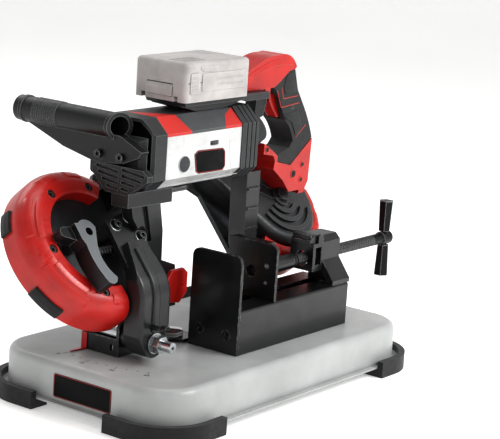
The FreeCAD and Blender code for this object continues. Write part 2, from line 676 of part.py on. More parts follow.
def main_frame():
    """Cast frame plate that carries both wheels, with the throat cut out of it."""
    part = body(loop())
    throat_left, throat_right, throat_top = -98.0, 45.0, 46.0
    front, rear = 66.0, 74.0
    start = polar(rear, 60, U_REAR, 0)
    outline = [(-117, 84), (U_REAR + 10, 84), start, polar(rear, 0, U_REAR) + (0,),
               polar(rear, -90, U_REAR, 0), polar(rear, -120, U_REAR) + (0,), polar(rear, -150, U_REAR),
               (throat_right + 8, -58), (throat_right, -50), (throat_right, throat_top - 12),
               (throat_right - 12, throat_top), (throat_left + 12, throat_top),
               (throat_left, throat_top - 12), (throat_left, -58), polar(front, -62, U_FRONT, 0),
               polar(front, 180, U_FRONT, 0) + (0,), polar(front, 62, U_FRONT, 0), (-129.5, 69.5)]
    pad(part, outline, "frame_face - frame_back", BACK)
    pad(part, rect(-112, 78, 30, 84), 14, FACE)
    pad(part, rect(-80, 46.2, 30, 50.2), 8, FACE)
    pad(part, polar_disc(*LEVER_SPOT, 8), 19.0, FACE)
    pad(part, rect(-156, STUB_SPOT[1] - 6, -151, STUB_SPOT[1] + 6), 14.0, FACE)
    pocket(part, slot(STUB_SPOT[0], STUB_SPOT[0] + 6.5, STUB_SPOT[1], 5.3), 8, BACK - 1)
    pocket(part, None, 30, BACK - 1, circles=[(U_REAR, 0, size["axle_radius"] + FIT),
                                             (size["lay_shaft_x"], size["lay_shaft_v"], 5.05)])
    holes = [(u, v, 3.0) for u, v in arm_bolt_spots()]
    pocket(part, None, 4.9, FACE + 0.1, circles=holes, up=False)
    lever_pin = rod(loop(*LEVER_SPOT, FACE + 18), 5.0, 14)
    pads = [rod(loop(u, v, FACE - 0.5), 8, ARM_BACK - FACE + 0.3) for u, v in arm_bolt_spots()]
    bored = [rod(loop(u, v, FACE - 5), 3.0, 40) for u, v in arm_bolt_spots()]
    return cut(join(part, lever_pin, *pads), *bored)


def polar_disc(x, y, radius):
    return [(x + radius, y), (x, y + radius, 0), (x - radius, y), (x, y - radius, 0)]


def bumper(radius, inner, start, sweep, u, crown, drop):
    """Hollow C-shaped guard with a crowned outside, swept round a wheel's axis."""
    back, face, wall = size["bumper_back"], size["bumper_face"], size["bumper_wall"]
    step = FACE + 0.2
    bulge = 0.3
    outline = [(radius - wall, back), (radius, back), (radius, face - drop),
               (radius - bulge * crown, face - bulge * drop, 0),
               (radius - crown, face), (inner + 2, face), (inner, face - 2), (inner, step),
               (inner + wall, step), (inner + wall, face - wall), (radius - crown, face - wall),
               (radius - wall - bulge * (crown - wall), face - wall - bulge * (drop - wall), 0),
               (radius - wall, face - drop)]
    ring = body(loop(u, 0, 0, FreeCAD.Rotation(Z_AXIS, start)))
    turned(ring, outline, sweep)
    walls = []
    for angle in (start, start + sweep - 2.2):
        spot = loop(u, 0, 0, FreeCAD.Rotation(Z_AXIS, angle))
        end = body(spot)
        solid = [(inner + 1, step), (radius - 1, step), (radius - 1, max(step + 0.1, face - drop)),
                 (radius - crown, face - 1), (inner + 2, face - 1)]
        turned(end, solid, 2.2)
        walls.append(end)
    return join(ring, *walls)


def front_bumper():
    guard = bumper(size["front_bumper_radius"], 59.0, 52.0, 221.0, U_FRONT, 20.0, 26.0)
    step = FACE + 0.2
    face = size["bumper_face"]
    posts = [rod(loop(*spot, step), 8.0, face - step - 1) for spot in front_bumper_spots()]
    holes = [join(rod(loop(*spot, step - 1), 3.05, 30), rod(loop(*spot, face - 6), 5.6, 10))
             for spot in front_bumper_spots()]
    band_way = box(loop(), 50, 20, 16, at=(-155, 66, -7))
    return cut(join(guard, *posts), band_way, *holes)


def front_bumper_spots():
    return [polar(68.5, angle, U_FRONT, 0) for angle in (64.0, 117.0, 182.0, 249.0)]


def rear_bumper():
    guard = bumper(size["rear_bumper_radius"], 63.5, -140.0, 190.0, U_REAR, 10.0, 12.0)
    return cut(guard, box(loop(), 60, 18, 16, at=(77, -84, -7)))


def bumper_pads():
    """Two rubber rest pads clipped on the front bumper's rim."""
    outer = size["front_bumper_radius"]
    pads = []
    for angle, n0, sweep in ((140.0, -5.5, 17.0), (199.0, -5.5, 24.0)):
        part = body(loop(U_FRONT, 0, 0, FreeCAD.Rotation(Z_AXIS, angle)))
        turned(part, [(outer + 0.1, n0), (outer + 3.0, n0 + 1), (outer + 3.6, n0 + 8),
                      (outer + 3.0, n0 + 15), (outer + 0.1, n0 + 16)], sweep)
        pads.append(part)
    return group(*pads)


def neck():
    """Ventilated gear-case nose that ties the frame plate to the motor."""
    shield = [(-8, 243), (24, 243), (44, 262), (44, 269), (36, 274), (-28, 274), (-36, 268), (-36, 262)]
    grille = slab(world(-177.2, 0, 0, ACROSS), shield, 9)
    spread = slab(world(0, 0, 229), [(-177, -10), (-106, -14), (-106, 36), (-116, 44), (-140, 44),
                                     (-177, 14)], 16.6)
    leg = cut(box(loop(), 20, 27, 51.5, at=(-124, 34, FACE + 0.1)),
              box(world(-200, -80, 245.5), 200, 300, 80))
    slots = []
    for rung, (near, far) in enumerate(((-9, 23), (-18, 30), (-27, 36), (-31, 39))):
        for start, end in ((near, 2), (6, far)):
            place = world(-180, start, 247 + rung * 6.2, FreeCAD.Rotation(X_AXIS, 6))
            slots.append(box(place, 6, end - start, 3.2))
    return cut(join(grille, spread, leg), *slots)


MOTOR_Y = (size["motor_front"] + size["motor_back"]) / 2


def shell_outline(grow=0.0):
    """Cross-section of the motor casing (y, z) below the split line."""
    y0, y1 = size["motor_front"] - grow, size["motor_back"] + grow
    z0, z1 = size["motor_bottom"] - grow, size["shell_split"]
    return [(y0, z0 + 12), (y0 + 12, z0), (y1 - 12, z0), (y1, z0 + 12), (y1, z1), (y0, z1)]


def cap_outline(grow=0.0):
    """Cross-section (y, z) of the casing above the split line."""
    y0, y1 = size["motor_front"] - grow, size["motor_back"] + grow
    z0, z1 = size["shell_split"] + 0.1, size["motor_top"] + grow
    return [(y0, z0), (y1, z0), (y1, z0 + 3), (y1 - 18, z1), (y0 + 18, z1), (y0, z0 + 3)]


def full_outline(grow=0.0):
    low, high = shell_outline(grow), cap_outline(grow)
    return low[:4] + [high[2], high[3], high[4], high[5]]


def motor_housing():
    """Side and under shell of the motor, open at the top."""
    length = size["motor_right"] - size["motor_left"]
    wall = size["shell_wall"]
    outer = slab(world(size["motor_left"], 0, 0, ACROSS), shell_outline(), length)
    inner = slab(world(size["motor_left"] - 1, 0, 0, ACROSS), shell_outline(-wall), length + 2)
    y0 = size["motor_front"]
    cap_ring = rod(world(-101, y0 - 1.2, 273, TO_Y), 9.4, 2)
    dial_slot = box(world(-55.1, y0 - 5, 289.5), 15.2, 12, 5)
    shelf = box(world(-52, y0 + 2.9, 286.5), 9, 8, 2.6)
    pin = rod(world(-47.5, y0 + 4.9, 287), 1.5, 8.5)
    return join(cut(join(outer, cap_ring), inner, dial_slot), shelf, pin)


def top_shell():
    """Upper casing with sloped shoulders."""
    length = size["motor_right"] - size["motor_left"]
    outer = slab(world(size["motor_left"], 0, 0, ACROSS), cap_outline(), length)
    wall = size["shell_wall"]
    inner = slab(world(size["motor_left"] - 1, 0, 0, ACROSS), full_outline(-wall), length + 2)
    return cut(outer, inner)


def front_collar():
    """End cap of the motor, tapered towards the front handle."""
    x = size["motor_left"] - 31
    outer = slab(world(x, 0, 0, ACROSS), full_outline(), 30.8)
    wedge_low = slab(world(0, -60, 0, FreeCAD.Rotation(V(1, 0, 0), 90)),
                     [(x - 1, 240), (x + 14, 240), (x - 1, 262)], 200, at=(0, 0, -160))
    corner = slab(world(0, 0, 200), [(x - 1, -30), (x + 16, -30), (x - 1, -8)], 150)
    inner = slab(world(x + 6, 0, 0, ACROSS), full_outline(-4), 40)
    handle_way = rod(world(*HANDLE_SPOT, TO_Y), 16.0, 200)
    return cut(cut(cut(outer, handle_way), corner, wedge_low), inner)


def rear_collar():
    """Rear motor cap with stepped ribs."""
    x = size["motor_right"] + 0.2
    outer = slab(world(x, 0, 0, ACROSS), full_outline(1.5), 31)
    inner = slab(world(x - 1, 0, 0, ACROSS), full_outline(-4), 28)
    grooves = [cut(slab(world(x + 8 + 8 * i, 0, 0, ACROSS), full_outline(4), 2.4),
                   slab(world(x + 7 + 8 * i, 0, 0, ACROSS), full_outline(0.2), 5)) for i in range(3)]
    shaft_way = rod(world(x, MOTOR_Y, size["motor_axis_z"], TO_X), 7, 60)
    return cut(outer, inner, shaft_way, *grooves)


def battery_mount():
    """Foot and rails that the battery slides onto, carried on towards the handle."""
    top = size["mount_top"]
    low = size["motor_top"] + 0.2
    side = [(-90, top), (-86, top - 7), (-58, low), (-4, low), (22, top - 8), (71, top - 8), (71, top)]
    plate = slab(world(0, 47, 0, FreeCAD.Rotation(X_AXIS, 90)), side, 58)
    narrow = [box(world(-110, -20, low - 1), 135, 16, top - low - 5),
              box(world(-110, 40, low - 1), 135, 20, top - low - 5)]
    rails = [box(world(-88, y, top - 1), 102, 5, 6) for y in (-8, 39)]
    bridge = box(world(22, 3, top - 8), 49, 30, 8)
    return cut(join(plate, *rails, bridge), *narrow)


def battery_pack():
    """Slide-on pack with rail grooves, chamfered lid and latch recess."""
    x, y, z = size["battery_left"], MOTOR_Y - size["battery_width"] / 2, size["mount_top"] + 0.3
    length, width, height = size["battery_length"], size["battery_width"], size["battery_height"]
    part = body(world(x, y, z))
    pad(part, rounded(length, width, 7, length / 2, width / 2), "battery_height")
    soften(part, 5.0, level_at(height))
    grooves = [box(world(x - 1, y0 - 0.5, z - 1), length - 6 + 40, 6, 7.2) for y0 in (-8, 39)]
    vents = [box(world(x + 8 + 6.2 * i, y + 10, z + height - 2.0), 2.6, 26, 4) for i in range(7)]
    latch_room = box(world(x - 1, MOTOR_Y - 19, z + 5), 9, 38, 15)
    belt = [box(world(x - 1, yy, z + 21), length + 2, 1.2, 1.6) for yy in (y - 0.2, y + width - 1.0)]
    return cut(part, latch_room, *grooves, *vents, *belt)


def battery_latch():
    """Push latch in the pack's front face."""
    x, z = size["battery_left"], size["mount_top"] + 0.3
    outline = [(-2.0, 6), (5.5, 6), (5.5, 19), (0.5, 19), (-2.0, 14)]
    return slab(world(x, MOTOR_Y + 18.4, z - 0.2, FreeCAD.Rotation(X_AXIS, 90)), outline, 36.8)


def handle_top():
    """Upper bridge of the rear handle."""
    outline = [(22, 341), (22, 352), (44, 364), (66, 373), (87, 379, 0), (106, 380), (129, 376, 0),
               (140, 364), (137.5, 361.5), (126, 359.5), (105, 346), (96, 341.5), (71.5, 340.5)]
    half = size["handle_width"] / 2
    bridge = slab(world(0, MOTOR_Y + half, 0, FreeCAD.Rotation(X_AXIS, 90)), outline, "handle_width")
    lugs = [box(world(79, y, 331), 10, 6.5, 12) for y in (1.5, 28.0)]
    return join(bridge, rod(world(84, 2, 336, TO_Y), 2.0, 32), *lugs)


def grip_outline():
    return [(96.5, 341), (105, 345.5), (126, 359), (137.5, 361), (146, 335), (163, 311), (175, 291, 0),
            (183, 273), (140.5, 242.2), (113.5, 249), (113.5, 257), (136, 264), (143, 272), (136, 286, 0),
            (124, 299), (116, 312), (110, 328)]


def handle_grip():
    """Over-moulded pistol grip with trigger and switch pockets."""
    half = size["handle_width"] / 2 - 0.5
    solid = slab(world(0, MOTOR_Y + half, 0, FreeCAD.Rotation(X_AXIS, 90)), grip_outline(), 2 * half)
    trigger_room = box(world(90, MOTOR_Y - 9, 300), 44, 18, 34)
    switch_room = box(world(133, MOTOR_Y - 11, 292), 16, 22, 32)
    return cut(solid, trigger_room, switch_room)


def handle_base():
    """Lower socket of the handle, standing on the gear cover."""
    outline = [(84, 274), (84, 261), (104, 257), (108, 250), (106, 240), (127, 224), (146, 203),
               (172, 204), (181, 218), (183.5, 271.5), (141, 241.5), (113, 248.3), (113, 256),
               (104, 262)]
    half = size["handle_width"] / 2
    solid = slab(world(0, MOTOR_Y + half, 0, FreeCAD.Rotation(X_AXIS, 90)), outline, "handle_width")
    lx, lv = size["lay_shaft_x"], size["lay_shaft_v"]
    tower = rod(loop(lx, lv, 20), 23, 130)
    shell = slab(loop(n=0), hull_of_circles(lx, lv, 23.6, U_REAR, 0, 62.9), size["cover_face"] + 0.4)
    hub = rod(loop(U_REAR, 0, 40), 13.8, 30)
    return cut(solid, tower, shell, hub)


def front_handle():
    """Tubular front handle with a slanted mouth and its curved bracket web."""
    x, z = HANDLE_SPOT[0], HANDLE_SPOT[2]
    slant = world(x, 14, z, FreeCAD.Rotation(Z_AXIS, -20))
    tube = rod(world(x, 2, z, TO_Y), 14.5, 160)
    mouth_rim = overlap(rod(world(x, 2, z, TO_Y), 15.6, 40), box(slant, 60, 4, 60, at=(-30, 0, -30)))
    end_rim = rod(world(x, 150, z, TO_Y), 15.6, 4)
    rings = [rod(world(x, 98 + 3.4 * i, z, TO_Y), 15.3, 1.7) for i in range(11)]
    web = [(-24, 293), (-20, 286), (0, 277.5), (20, 274.7, 0), (50, 274.7), (90, 283), (148, 303.5),
           (148, 308), (10, 308)]
    bracket = slab(world(-176, 0, 0, ACROSS), web, 12.6)
    bore = rod(world(x, 0, z, TO_Y), 11.0, 156)
    screw_ways = [rod(world(-180, y, 283.5, TO_X), 3.05, 30) for y in front_handle_screws()]
    tube = cut(tube, box(slant, 60, 40, 60, at=(-30, -40, -30)))
    return cut(join(tube, mouth_rim, end_rim, *rings, bracket), bore, *screw_ways)


def front_handle_screws():
    return (4.0, 36.0)


def frame_screws():
    """Socket screws of the arm, the front bumper, the front handle and the gear cover."""
    screws = [socket_screw(loop(u, v, ARM_BACK + ARM_PLATE + 0.1), 5.0, 35, shank=2.9)
              for u, v in arm_bolt_spots()]
    for u, v in front_bumper_spots():
        seat = loop(u, v, size["bumper_face"] - 5.9)
        screws.append(socket_screw(seat, 4.8, 11.5, shank=2.9, head_height=4.5))
    for y in front_handle_screws():
        seat = world(-176.2, y, 283.5, FreeCAD.Rotation(Y_AXIS, -90))
        screws.append(socket_screw(seat, 4.6, 12, head_height=4))
    return group(*screws)


def gear_cover():
    """Gear case: domed wheel-end cover, gear tunnel and bevel tower."""
    lx, lv = size["lay_shaft_x"], size["lay_shaft_v"]
    low, high = FACE + 0.1, size["cover_face"]
    outer = slab(loop(n=low), hull_of_circles(lx, lv, 23, U_REAR, 0, 62), high - low)
    outer = round_edges(outer, 9.0, lambda e: abs(loop().inverse().multVec(e.CenterOfMass).z - high) < 0.01)
    inner = slab(loop(n=low - 1), hull_of_circles(lx, lv, 19.5, U_REAR, 0, 57), high - low - 3)
    tower = rod(loop(lx, lv, 0), 22, 128 - high + 2, at=(0, 0, high - 2))
    tower_room = rod(loop(lx, lv, 0), 19, 124 - high, at=(0, 0, high))
    shaft_way = rod(loop(lx, lv, 0), 5.05, 20, at=(0, 0, high - 10))
    side_way = rod(world(0, MOTOR_Y, size["motor_axis_z"], TO_X), 9.0, 58)
    arches = []
    for radius, sweep in ((44.0, 128.0), (31.0, 122.0), (19.0, 116.0)):
        spot = loop(U_REAR, 0, high - 0.5, FreeCAD.Rotation(Z_AXIS, 203.0))
        arches.append(cut(rod(spot, radius + 5.5, 5.0, angle=sweep), rod(spot, radius, 9, at=(0, 0, -2))))
    hub = [rod(loop(U_REAR, 0, high - 4), 13, 7.5), rod(loop(U_REAR, 0, high + 3), 8.5, 5)]
    bearing = rod(loop(U_REAR, 0, 38), 13, high - 39)
    axle_way = rod(loop(U_REAR, 0, 20), size["axle_radius"] + FIT, high - 23)
    pin_u, pin_v = idler_gear_spot()
    pin = rod(loop(pin_u, pin_v, low), 5.0, high - low - 2)
    body_part = cut(join(outer, tower), inner, tower_room, side_way)
    body_part = join(body_part, pin, bearing, *arches, *hub)
    return cut(body_part, axle_way, shaft_way)


def idler_gear_spot():
    """Intermediate gear centre, on the line from the lay shaft to the drive axle."""
    lx, lv = size["lay_shaft_x"], size["lay_shaft_v"]
    total = math.hypot(U_REAR - lx, lv)
    reach = (size["pinion_teeth"] + size["idler_gear_teeth"]) * size["tooth_module"] / 2 + 0.4
    return lx + (U_REAR - lx) * reach / total, lv - lv * reach / total


def front_column():
    """Strut from the motor end down to the front blade guide."""
    outline = [(-150, 228.5), (-100, 228.5), (-92, 190), (-91, 155), (-66, 146), (-64, 133), (-96, 133),
               (-106, 140), (-120, 150), (-121, 178), (-146, 211)]
    solid = slab(world(0, 23, 0, FreeCAD.Rotation(X_AXIS, 90)), outline, 15)
    groove = slab(world(0, 12, 0, FreeCAD.Rotation(X_AXIS, 90)),
                  [(-118, 180), (-111, 180), (-122, 222), (-132, 222)], 6)
    bar = box(world(-98, 0.2, 117), 9, 22.7, 19)
    arm = box(world(-90, 0.2, 118.5), 22, 4, 15.5)
    pin = rod(world(-78, 0.2, 123.6, TO_Y), 3.0, 13)
    cheeks = [box(world(-90, 0.2, 100), 19, 1.2, 34), box(world(-90, 15.75, 100), 19, 2.2, 34)]
    frame_space = box(loop(), 122.2, 200, 130, at=(-220, -59, FACE - 129.9))
    arm_space = slab(loop(n=ARM_BACK - 0.3), arm_plate_outline(0.4), ARM_PLATE + 0.6)
    bolt_space = [rod(loop(u, v, FACE), 8.3, ARM_BACK - FACE + 14) for u, v in arm_bolt_spots()]
    roller_space = rod(world(-78, 4.6, 123.6, TO_Y), 8.6, 9.5)
    solid = cut(join(solid, bar, *cheeks), groove, frame_space, arm_space, roller_space, *bolt_space)
    return join(solid, arm, pin)


def rear_column():
    """Strut and guide carrier behind the throat."""
    outline = [(44, 244), (70, 244), (70, 100), (50, 100), (47, 140)]
    solid = slab(world(0, 18, 0, FreeCAD.Rotation(X_AXIS, 90)), outline, 24)
    ribs = [box(world(46, -8.5, 150 + 24 * i), 22, 3, 3) for i in range(4)]
    room = box(world(54, 1.45, 95), 20, 14.25, 39)
    slit = box(world(40, 7.2, 95), 40, 2.8, 22)
    frame_space = box(loop(), 60, 200, FACE - BACK + 0.2, at=(30, -58.5, BACK - 0.1))
    behind = box(loop(), 60, 200, 120, at=(30, -50, BACK - 120.1))
    pin = rod(world(62, -3, 123.6, TO_Y), 3.0, 17)
    return join(cut(join(solid, *ribs), room, slit, frame_space, behind), pin)


def guide_cover():
    """Moulded guard over the front guide."""
    outline = [(-95, 134), (-86, 144), (-64, 144), (-57, 138), (-57, 114), (-70, 103.5), (-88, 106),
               (-95, 114)]
    solid = slab(world(0, -0.4, 0, FreeCAD.Rotation(X_AXIS, 90)), outline, 5)
    return round_edges(solid, 2.0, lambda e: abs(e.BoundBox.YMax - (-5.4 + SHIFT.y)) < 0.01)


def guide_blocks():
    """Hard-metal side guides, one pair at each end of the throat."""
    middle = size["loop_y"] - (size["band_radius"] + size["band_gauge"] / 2) * math.cos(math.radians(50))
    blocks = []
    for x in (-82.0, 58.0):
        blocks.append(box(world(x, middle - 0.6 - 6.5, 103), 9, 6.5, 10))
        blocks.append(box(world(x, middle + 0.6, 103), 9, 6.5, 10))
    return group(*blocks)


def guide_roller(x):
    """Back-up roller above the blade's back edge."""
    spot = world(x, 5.3, 123.6, TO_Y)
    return cut(rod(spot, 7.9, 6.5), rod(spot, 3.05, 20, at=(0, 0, -5)))


def blade():
    """Endless band: half turns on both wheels, straight return run, twisted lower run."""
    radius, gauge, width = size["band_radius"], size["band_gauge"], size["band_width"]
    solids = []
    for u, side in ((U_FRONT, -1), (U_REAR, 1)):
        ring = Part.makeCylinder(radius + gauge, width, V(u, 0, -width / 2))
        ring = ring.cut(Part.makeCylinder(radius, width + 2, V(u, 0, -width / 2 - 1)))
        half = Part.makeBox(200, 400, 40, V(u if side > 0 else u - 200, -200, -20))
        solids.append(ring.common(half))
    solids.append(Part.makeBox(U_REAR - U_FRONT, gauge, width, V(U_FRONT, radius, -width / 2)))
    guide_front, guide_rear = -86.0, 68.0
    twist = size["loop_tilt"]
    stations = [(U_FRONT, 0.0), (U_FRONT + 9, 0.0), (guide_front, twist), (guide_rear, twist),
                (U_REAR, 0.0)]
    for (u0, a0), (u1, a1) in zip(stations, stations[1:]):
        steps = 1 if a0 == a1 else 8
        wires = []
        for step in range(steps + 1):
            share = step / steps
            wires.append(band_section(u0 + (u1 - u0) * share, a0 + (a1 - a0) * share))
        for first, second in zip(wires, wires[1:]):
            solids.append(Part.makeLoft([first, second], True, True))
    return custom(solids[0].multiFuse(solids[1:]), loop())


def band_section(u, angle):
    """Rectangle across the band, turned about its own run."""
    half_w, half_t = size["band_width"] / 2, size["band_gauge"] / 2
    centre = V(u, -size["band_radius"] - half_t, 0)
    spin = FreeCAD.Rotation(X_AXIS, -angle)
    corners = [spin.multVec(V(0, t, w)) + centre for t, w in
               ((-half_t, -half_w), (half_t, -half_w), (half_t, half_w), (-half_t, half_w))]
    return Part.makePolygon(corners + corners[:1])


def custom(shape, place):
    """A sub-part whose solid is worked out directly from the sheet's values."""
    thing = doc.addObject("Part::Feature", fresh("solid"))
    thing.Shape = shape
    thing.Placement = place
    return thing


# ================================================================ drive

def motor_stator():
    spot = world(-112, MOTOR_Y, size["motor_axis_z"], TO_X)
    wall = size["shell_wall"]
    ring = rod(spot, 30, 70)
    keeper = box(world(-90, size["motor_front"] + wall, size["motor_axis_z"] - 4), 26,
                 size["motor_back"] - size["motor_front"] - 2 * wall, 8)
    bell = rod(spot, 30, 2.6, at=(0, 0, -18))
    posts = [rod(spot, 2.5, 18, at=(*polar(27, 45 + 90 * i), -17)) for i in range(4)]
    bore = rod(spot, 24, 86, at=(0, 0, -15.4))
    return cut(join(ring, keeper, bell, *posts), bore, rod(spot, 5.05, 10, at=(0, 0, -22)))


def gearbox():
    """Sealed planetary reduction between the motor and the bevel pinion."""
    spot = world(-14, MOTOR_Y, size["motor_axis_z"], TO_X)
    bulkhead = slab(world(-2, 0, 0, ACROSS), full_outline(-size["shell_wall"]), 4)
    can = join(rod(spot, 25, 38), bulkhead)
    return cut(can, rod(spot, 5.05, 14, at=(0, 0, -1)), rod(spot, 4.05, 14, at=(0, 0, 25)))


def rotor():
    """Armature with winding stack, commutator, cooling fan and shaft."""
    spot = world(0, MOTOR_Y, size["motor_axis_z"], TO_X)
    shaft = rod(spot, 5.0, 124, at=(0, 0, -130))
    stack = rod(spot, 23.4, 52, at=(0, 0, -102))
    commutator = rod(spot, 12, 14, at=(0, 0, -126))
    hub = rod(spot, 11, 9, at=(0, 0, -34))
    blades = []
    for index in range(9):
        turn = FreeCAD.Rotation(Z_AXIS, 40.0 * index)
        place = spot.multiply(FreeCAD.Placement(V(0, 0, -34), turn))
        blades.append(box(place, 26, 2, 9, at=(0, -1, 0)))
    slots = []
    for index in range(12):
        turn = FreeCAD.Rotation(Z_AXIS, 30.0 * index)
        place = spot.multiply(FreeCAD.Placement(V(0, 0, -103), turn))
        slots.append(box(place, 8, 2.4, 54, at=(18, -1.2, 0)))
    return join(cut(join(shaft, stack), *slots), commutator, hub, *blades)


def bevel_pinion():
    spot = world(0, MOTOR_Y, size["motor_axis_z"], TO_X)
    top = bevel_plane() + 0.4
    radius = motor_axis_n() - top
    return join(rod(spot, 4.0, 30, at=(0, 0, 12)), cone(spot, radius, radius * 0.55, 8, at=(0, 0, 42)))


def motor_axis_n():
    tilt = math.radians(size["loop_tilt"])
    return (-(MOTOR_Y - size["loop_y"]) * math.sin(tilt)
            + (size["motor_axis_z"] - size["loop_z"]) * math.cos(tilt))


def bevel_plane():
    """Height of the bevel wheel's toothed face above the loop plane."""
    return motor_axis_n() - 8.4


def lay_shaft():
    """Bevel wheel, shaft and spur pinion in one piece."""
    lx, lv = size["lay_shaft_x"], size["lay_shaft_v"]
    spot = loop(lx, lv, 0)
    top = bevel_plane()
    shaft = rod(spot, 5.0, top - 15, at=(0, 0, 15))
    wheel = rod(spot, 16, 7, at=(0, 0, top - 7))
    teeth = []
    for index in range(24):
        turn = FreeCAD.Rotation(Z_AXIS, 15.0 * index)
        place = spot.multiply(FreeCAD.Placement(V(0, 0, top - 3), turn))
        teeth.append(box(place, 8, 1.6, 5, at=(9.5, -0.8, 0)))
    pinion = toothed(spot, int(size["pinion_teeth"]), "gear_face + 2", (0, 0, 26), 0)
    return join(shaft, cut(wheel, *teeth), pinion)


def idler_gear():
    u, v = idler_gear_spot()
    return toothed(loop(u, v, 0), int(size["idler_gear_teeth"]), "gear_face", (0, 0, 27), 5.05)


def drive_gear():
    return toothed(loop(U_REAR, 0, 0), int(size["drive_gear_teeth"]), "gear_face", (0, 0, 27),
                   size["axle_radius"])


def wheel(u, bore, axle_to=None):
    """Spoked band wheel turned and drilled; the driven one carries its axle."""
    half = size["wheel_width"] / 2
    rim, hub = size["band_radius"] - 4.3, 17.0
    part = body(loop(u, 0, 0))
    turned(part, [(bore, -half), (hub, -half), (hub, -3), (rim - 7, -3), (rim - 7, -half), (rim, -half),
                  (rim, half), (rim - 7, half), (rim - 7, 3), (hub, 3), (hub, half), (bore, half)])
    doc.recompute()
    sketch = sketch_on(part, "XY_Plane", -5)
    sketch.addGeometry(Part.Circle(V(40, 0, 0), Z_AXIS, 13.5), False)
    hole = part.newObject("PartDesign::Pocket", fresh("lightening"))
    hole.Profile = sketch
    hole.Length = 12
    hole.Reversed = True
    part.Tip = hole
    doc.recompute()
    pattern = part.newObject("PartDesign::PolarPattern", fresh("spokes"))
    pattern.Originals = [hole]
    pattern.Axis = (sketch, ["N_Axis"])
    pattern.Angle = 360
    pattern.Occurrences = 6
    part.Tip = pattern
    if axle_to is None:
        return part
    return join(part, rod(loop(u, 0, 0), "axle_radius", axle_to + half - 0.5, at=(0, 0, -half + 0.5)))


def tire(u):
    half = size["wheel_width"] / 2
    radius = size["band_radius"] - 0.3
    part = body(loop(u, 0, 0))
    return turned(part, [(radius - 4, -half), (radius, -half + 0.6), (radius, half - 0.6),
                         (radius - 4, half)])


def tension_carriage():
    """Sliding block with the idler axle and the stub that the lever pushes."""
    block = box(loop(), 44, 42, BACK - 9.3, at=(U_FRONT - 22, -21, 9.0))
    axle = rod(loop(U_FRONT, 0, 0), "axle_radius", 18.5, at=(0, 0, -9.3))
    cap = rod(loop(U_FRONT, 0, 0), 10.5, 1.6, at=(0, 0, -10))
    stub = rod(loop(*STUB_SPOT, 13), 5.0, 20)
    return join(block, axle, cap, stub)


def tension_spring():
    """Blade tension spring between the carriage stub and its stop."""
    helix = Part.makeHelix(4.6, 20.6, 4.0)
    wire = Part.Wire(helix.Edges)
    start = wire.Edges[0].firstVertex().Point
    section = Part.Wire([Part.makeCircle(1.1, start, V(0, 1, 0.18))])
    coil = wire.makePipeShell([section], True, True)
    return custom(coil, loop(STUB_SPOT[0] + 6.2, STUB_SPOT[1], 27.0, TO_X))


def tension_lever():
    """Over-centre tension lever: a deep curved grip with a lower thumb hook."""
    low, height = FACE + 19.6, 22.0
    outline = [(-204, 3), (-213, -15), (-217, -38, 0), (-209, -58), (-214, -64, 0), (-224, -62),
               (-230, -40, 0), (-229.5, -14), (-232, -4), (-246, 2), (-249, 9, 0), (-243, 14),
               (-226, 12), (-213, 14, 0)]
    grip = slab(loop(n=low), outline, height)
    hook_step = box(loop(n=low + height - 8), 24, 40, 20, at=(-255.5, -10, 0))
    return cut(grip, hook_step, rod(loop(*LEVER_SPOT, low - 5), 5.05, 40))


# ================================================================ controls

def switch_module():
    return box(world(133.5, MOTOR_Y - 10, 293), 15, 20, 30)


def trigger():
    outline = [(98, 332), (112, 332), (126, 312), (126, 302), (117, 302), (108, 312), (101, 322)]
    solid = slab(world(0, MOTOR_Y + 8, 0, FreeCAD.Rotation(X_AXIS, 90)), outline, 16)
    return round_edges(solid, 3.0, lambda e: e.BoundBox.YLength < 0.01 and e.BoundBox.XMax < 118 + SHIFT.x
                       and e.BoundBox.ZLength > 2)


def lock_button():
    outline = [(80.3, 336), (84, 339.7, 0), (87.7, 336), (94, 331.6), (94.5, 322), (89, 306), (80, 304),
               (73, 312), (74, 331.6)]
    solid = slab(world(0, MOTOR_Y + 8, 0, FreeCAD.Rotation(X_AXIS, 90)), outline, 16)
    return cut(solid, rod(world(84, MOTOR_Y - 20, 336, TO_Y), 2.05, 40))


def speed_dial():
    spot = world(-47.5, size["motor_front"] + 4.9, 290)
    ridges = []
    for index in range(24):
        turn = FreeCAD.Rotation(Z_AXIS, 15.0 * index)
        place = spot.multiply(FreeCAD.Placement(V(0, 0, -1), turn))
        ridges.append(box(place, 2, 0.9, 6, at=(6.9, -0.45, 0)))
    return cut(rod(spot, 7.4, 4), rod(spot, 1.55, 8, at=(0, 0, -2)), *ridges)


BUILDERS = [
    base_tray, rubber_feet, base_fasteners, vise_bed, fixed_jaw, nut_bracket, movable_jaw, vise_screw,
    tee_handle, quick_release, swivel_plate, swivel_pivot, mitre_pointer, head_pivot, lock_screw,
    support_arm, main_frame, front_bumper, rear_bumper, bumper_pads, neck, motor_housing, top_shell,
    front_collar, rear_collar, battery_mount, battery_pack, battery_latch, handle_top, handle_grip,
    handle_base, front_handle, frame_screws, gear_cover, front_column, rear_column, guide_cover,
    guide_blocks, blade, motor_stator, gearbox, rotor, bevel_pinion, lay_shaft, idler_gear, drive_gear,
    tension_carriage, tension_spring, tension_lever, switch_module, trigger, lock_button, speed_dial,
]
for builder in BUILDERS:
    node(builder.__name__, builder())
node("front_roller", guide_roller(-78.0))
node("rear_roller", guide_roller(62.0))
node("drive_wheel", wheel(U_REAR, 7.0, axle_to=size["cover_face"] - 4))
node("idler_wheel", wheel(U_FRONT, size["axle_radius"] + FIT))
node("drive_tire", tire(U_REAR))
node("idler_tire", tire(U_FRONT))

doc.recompute()
for item in doc.Objects:
    if "Invalid" in item.State or "Error" in item.State:
        raise RuntimeError("%s (%s) did not build" % (item.Label, item.Name))
for label, item in nodes.items():
    if item.Shape.isNull() or not item.Shape.isValid() or not item.Shape.Solids:
        raise RuntimeError("%s has no valid solid" % label)

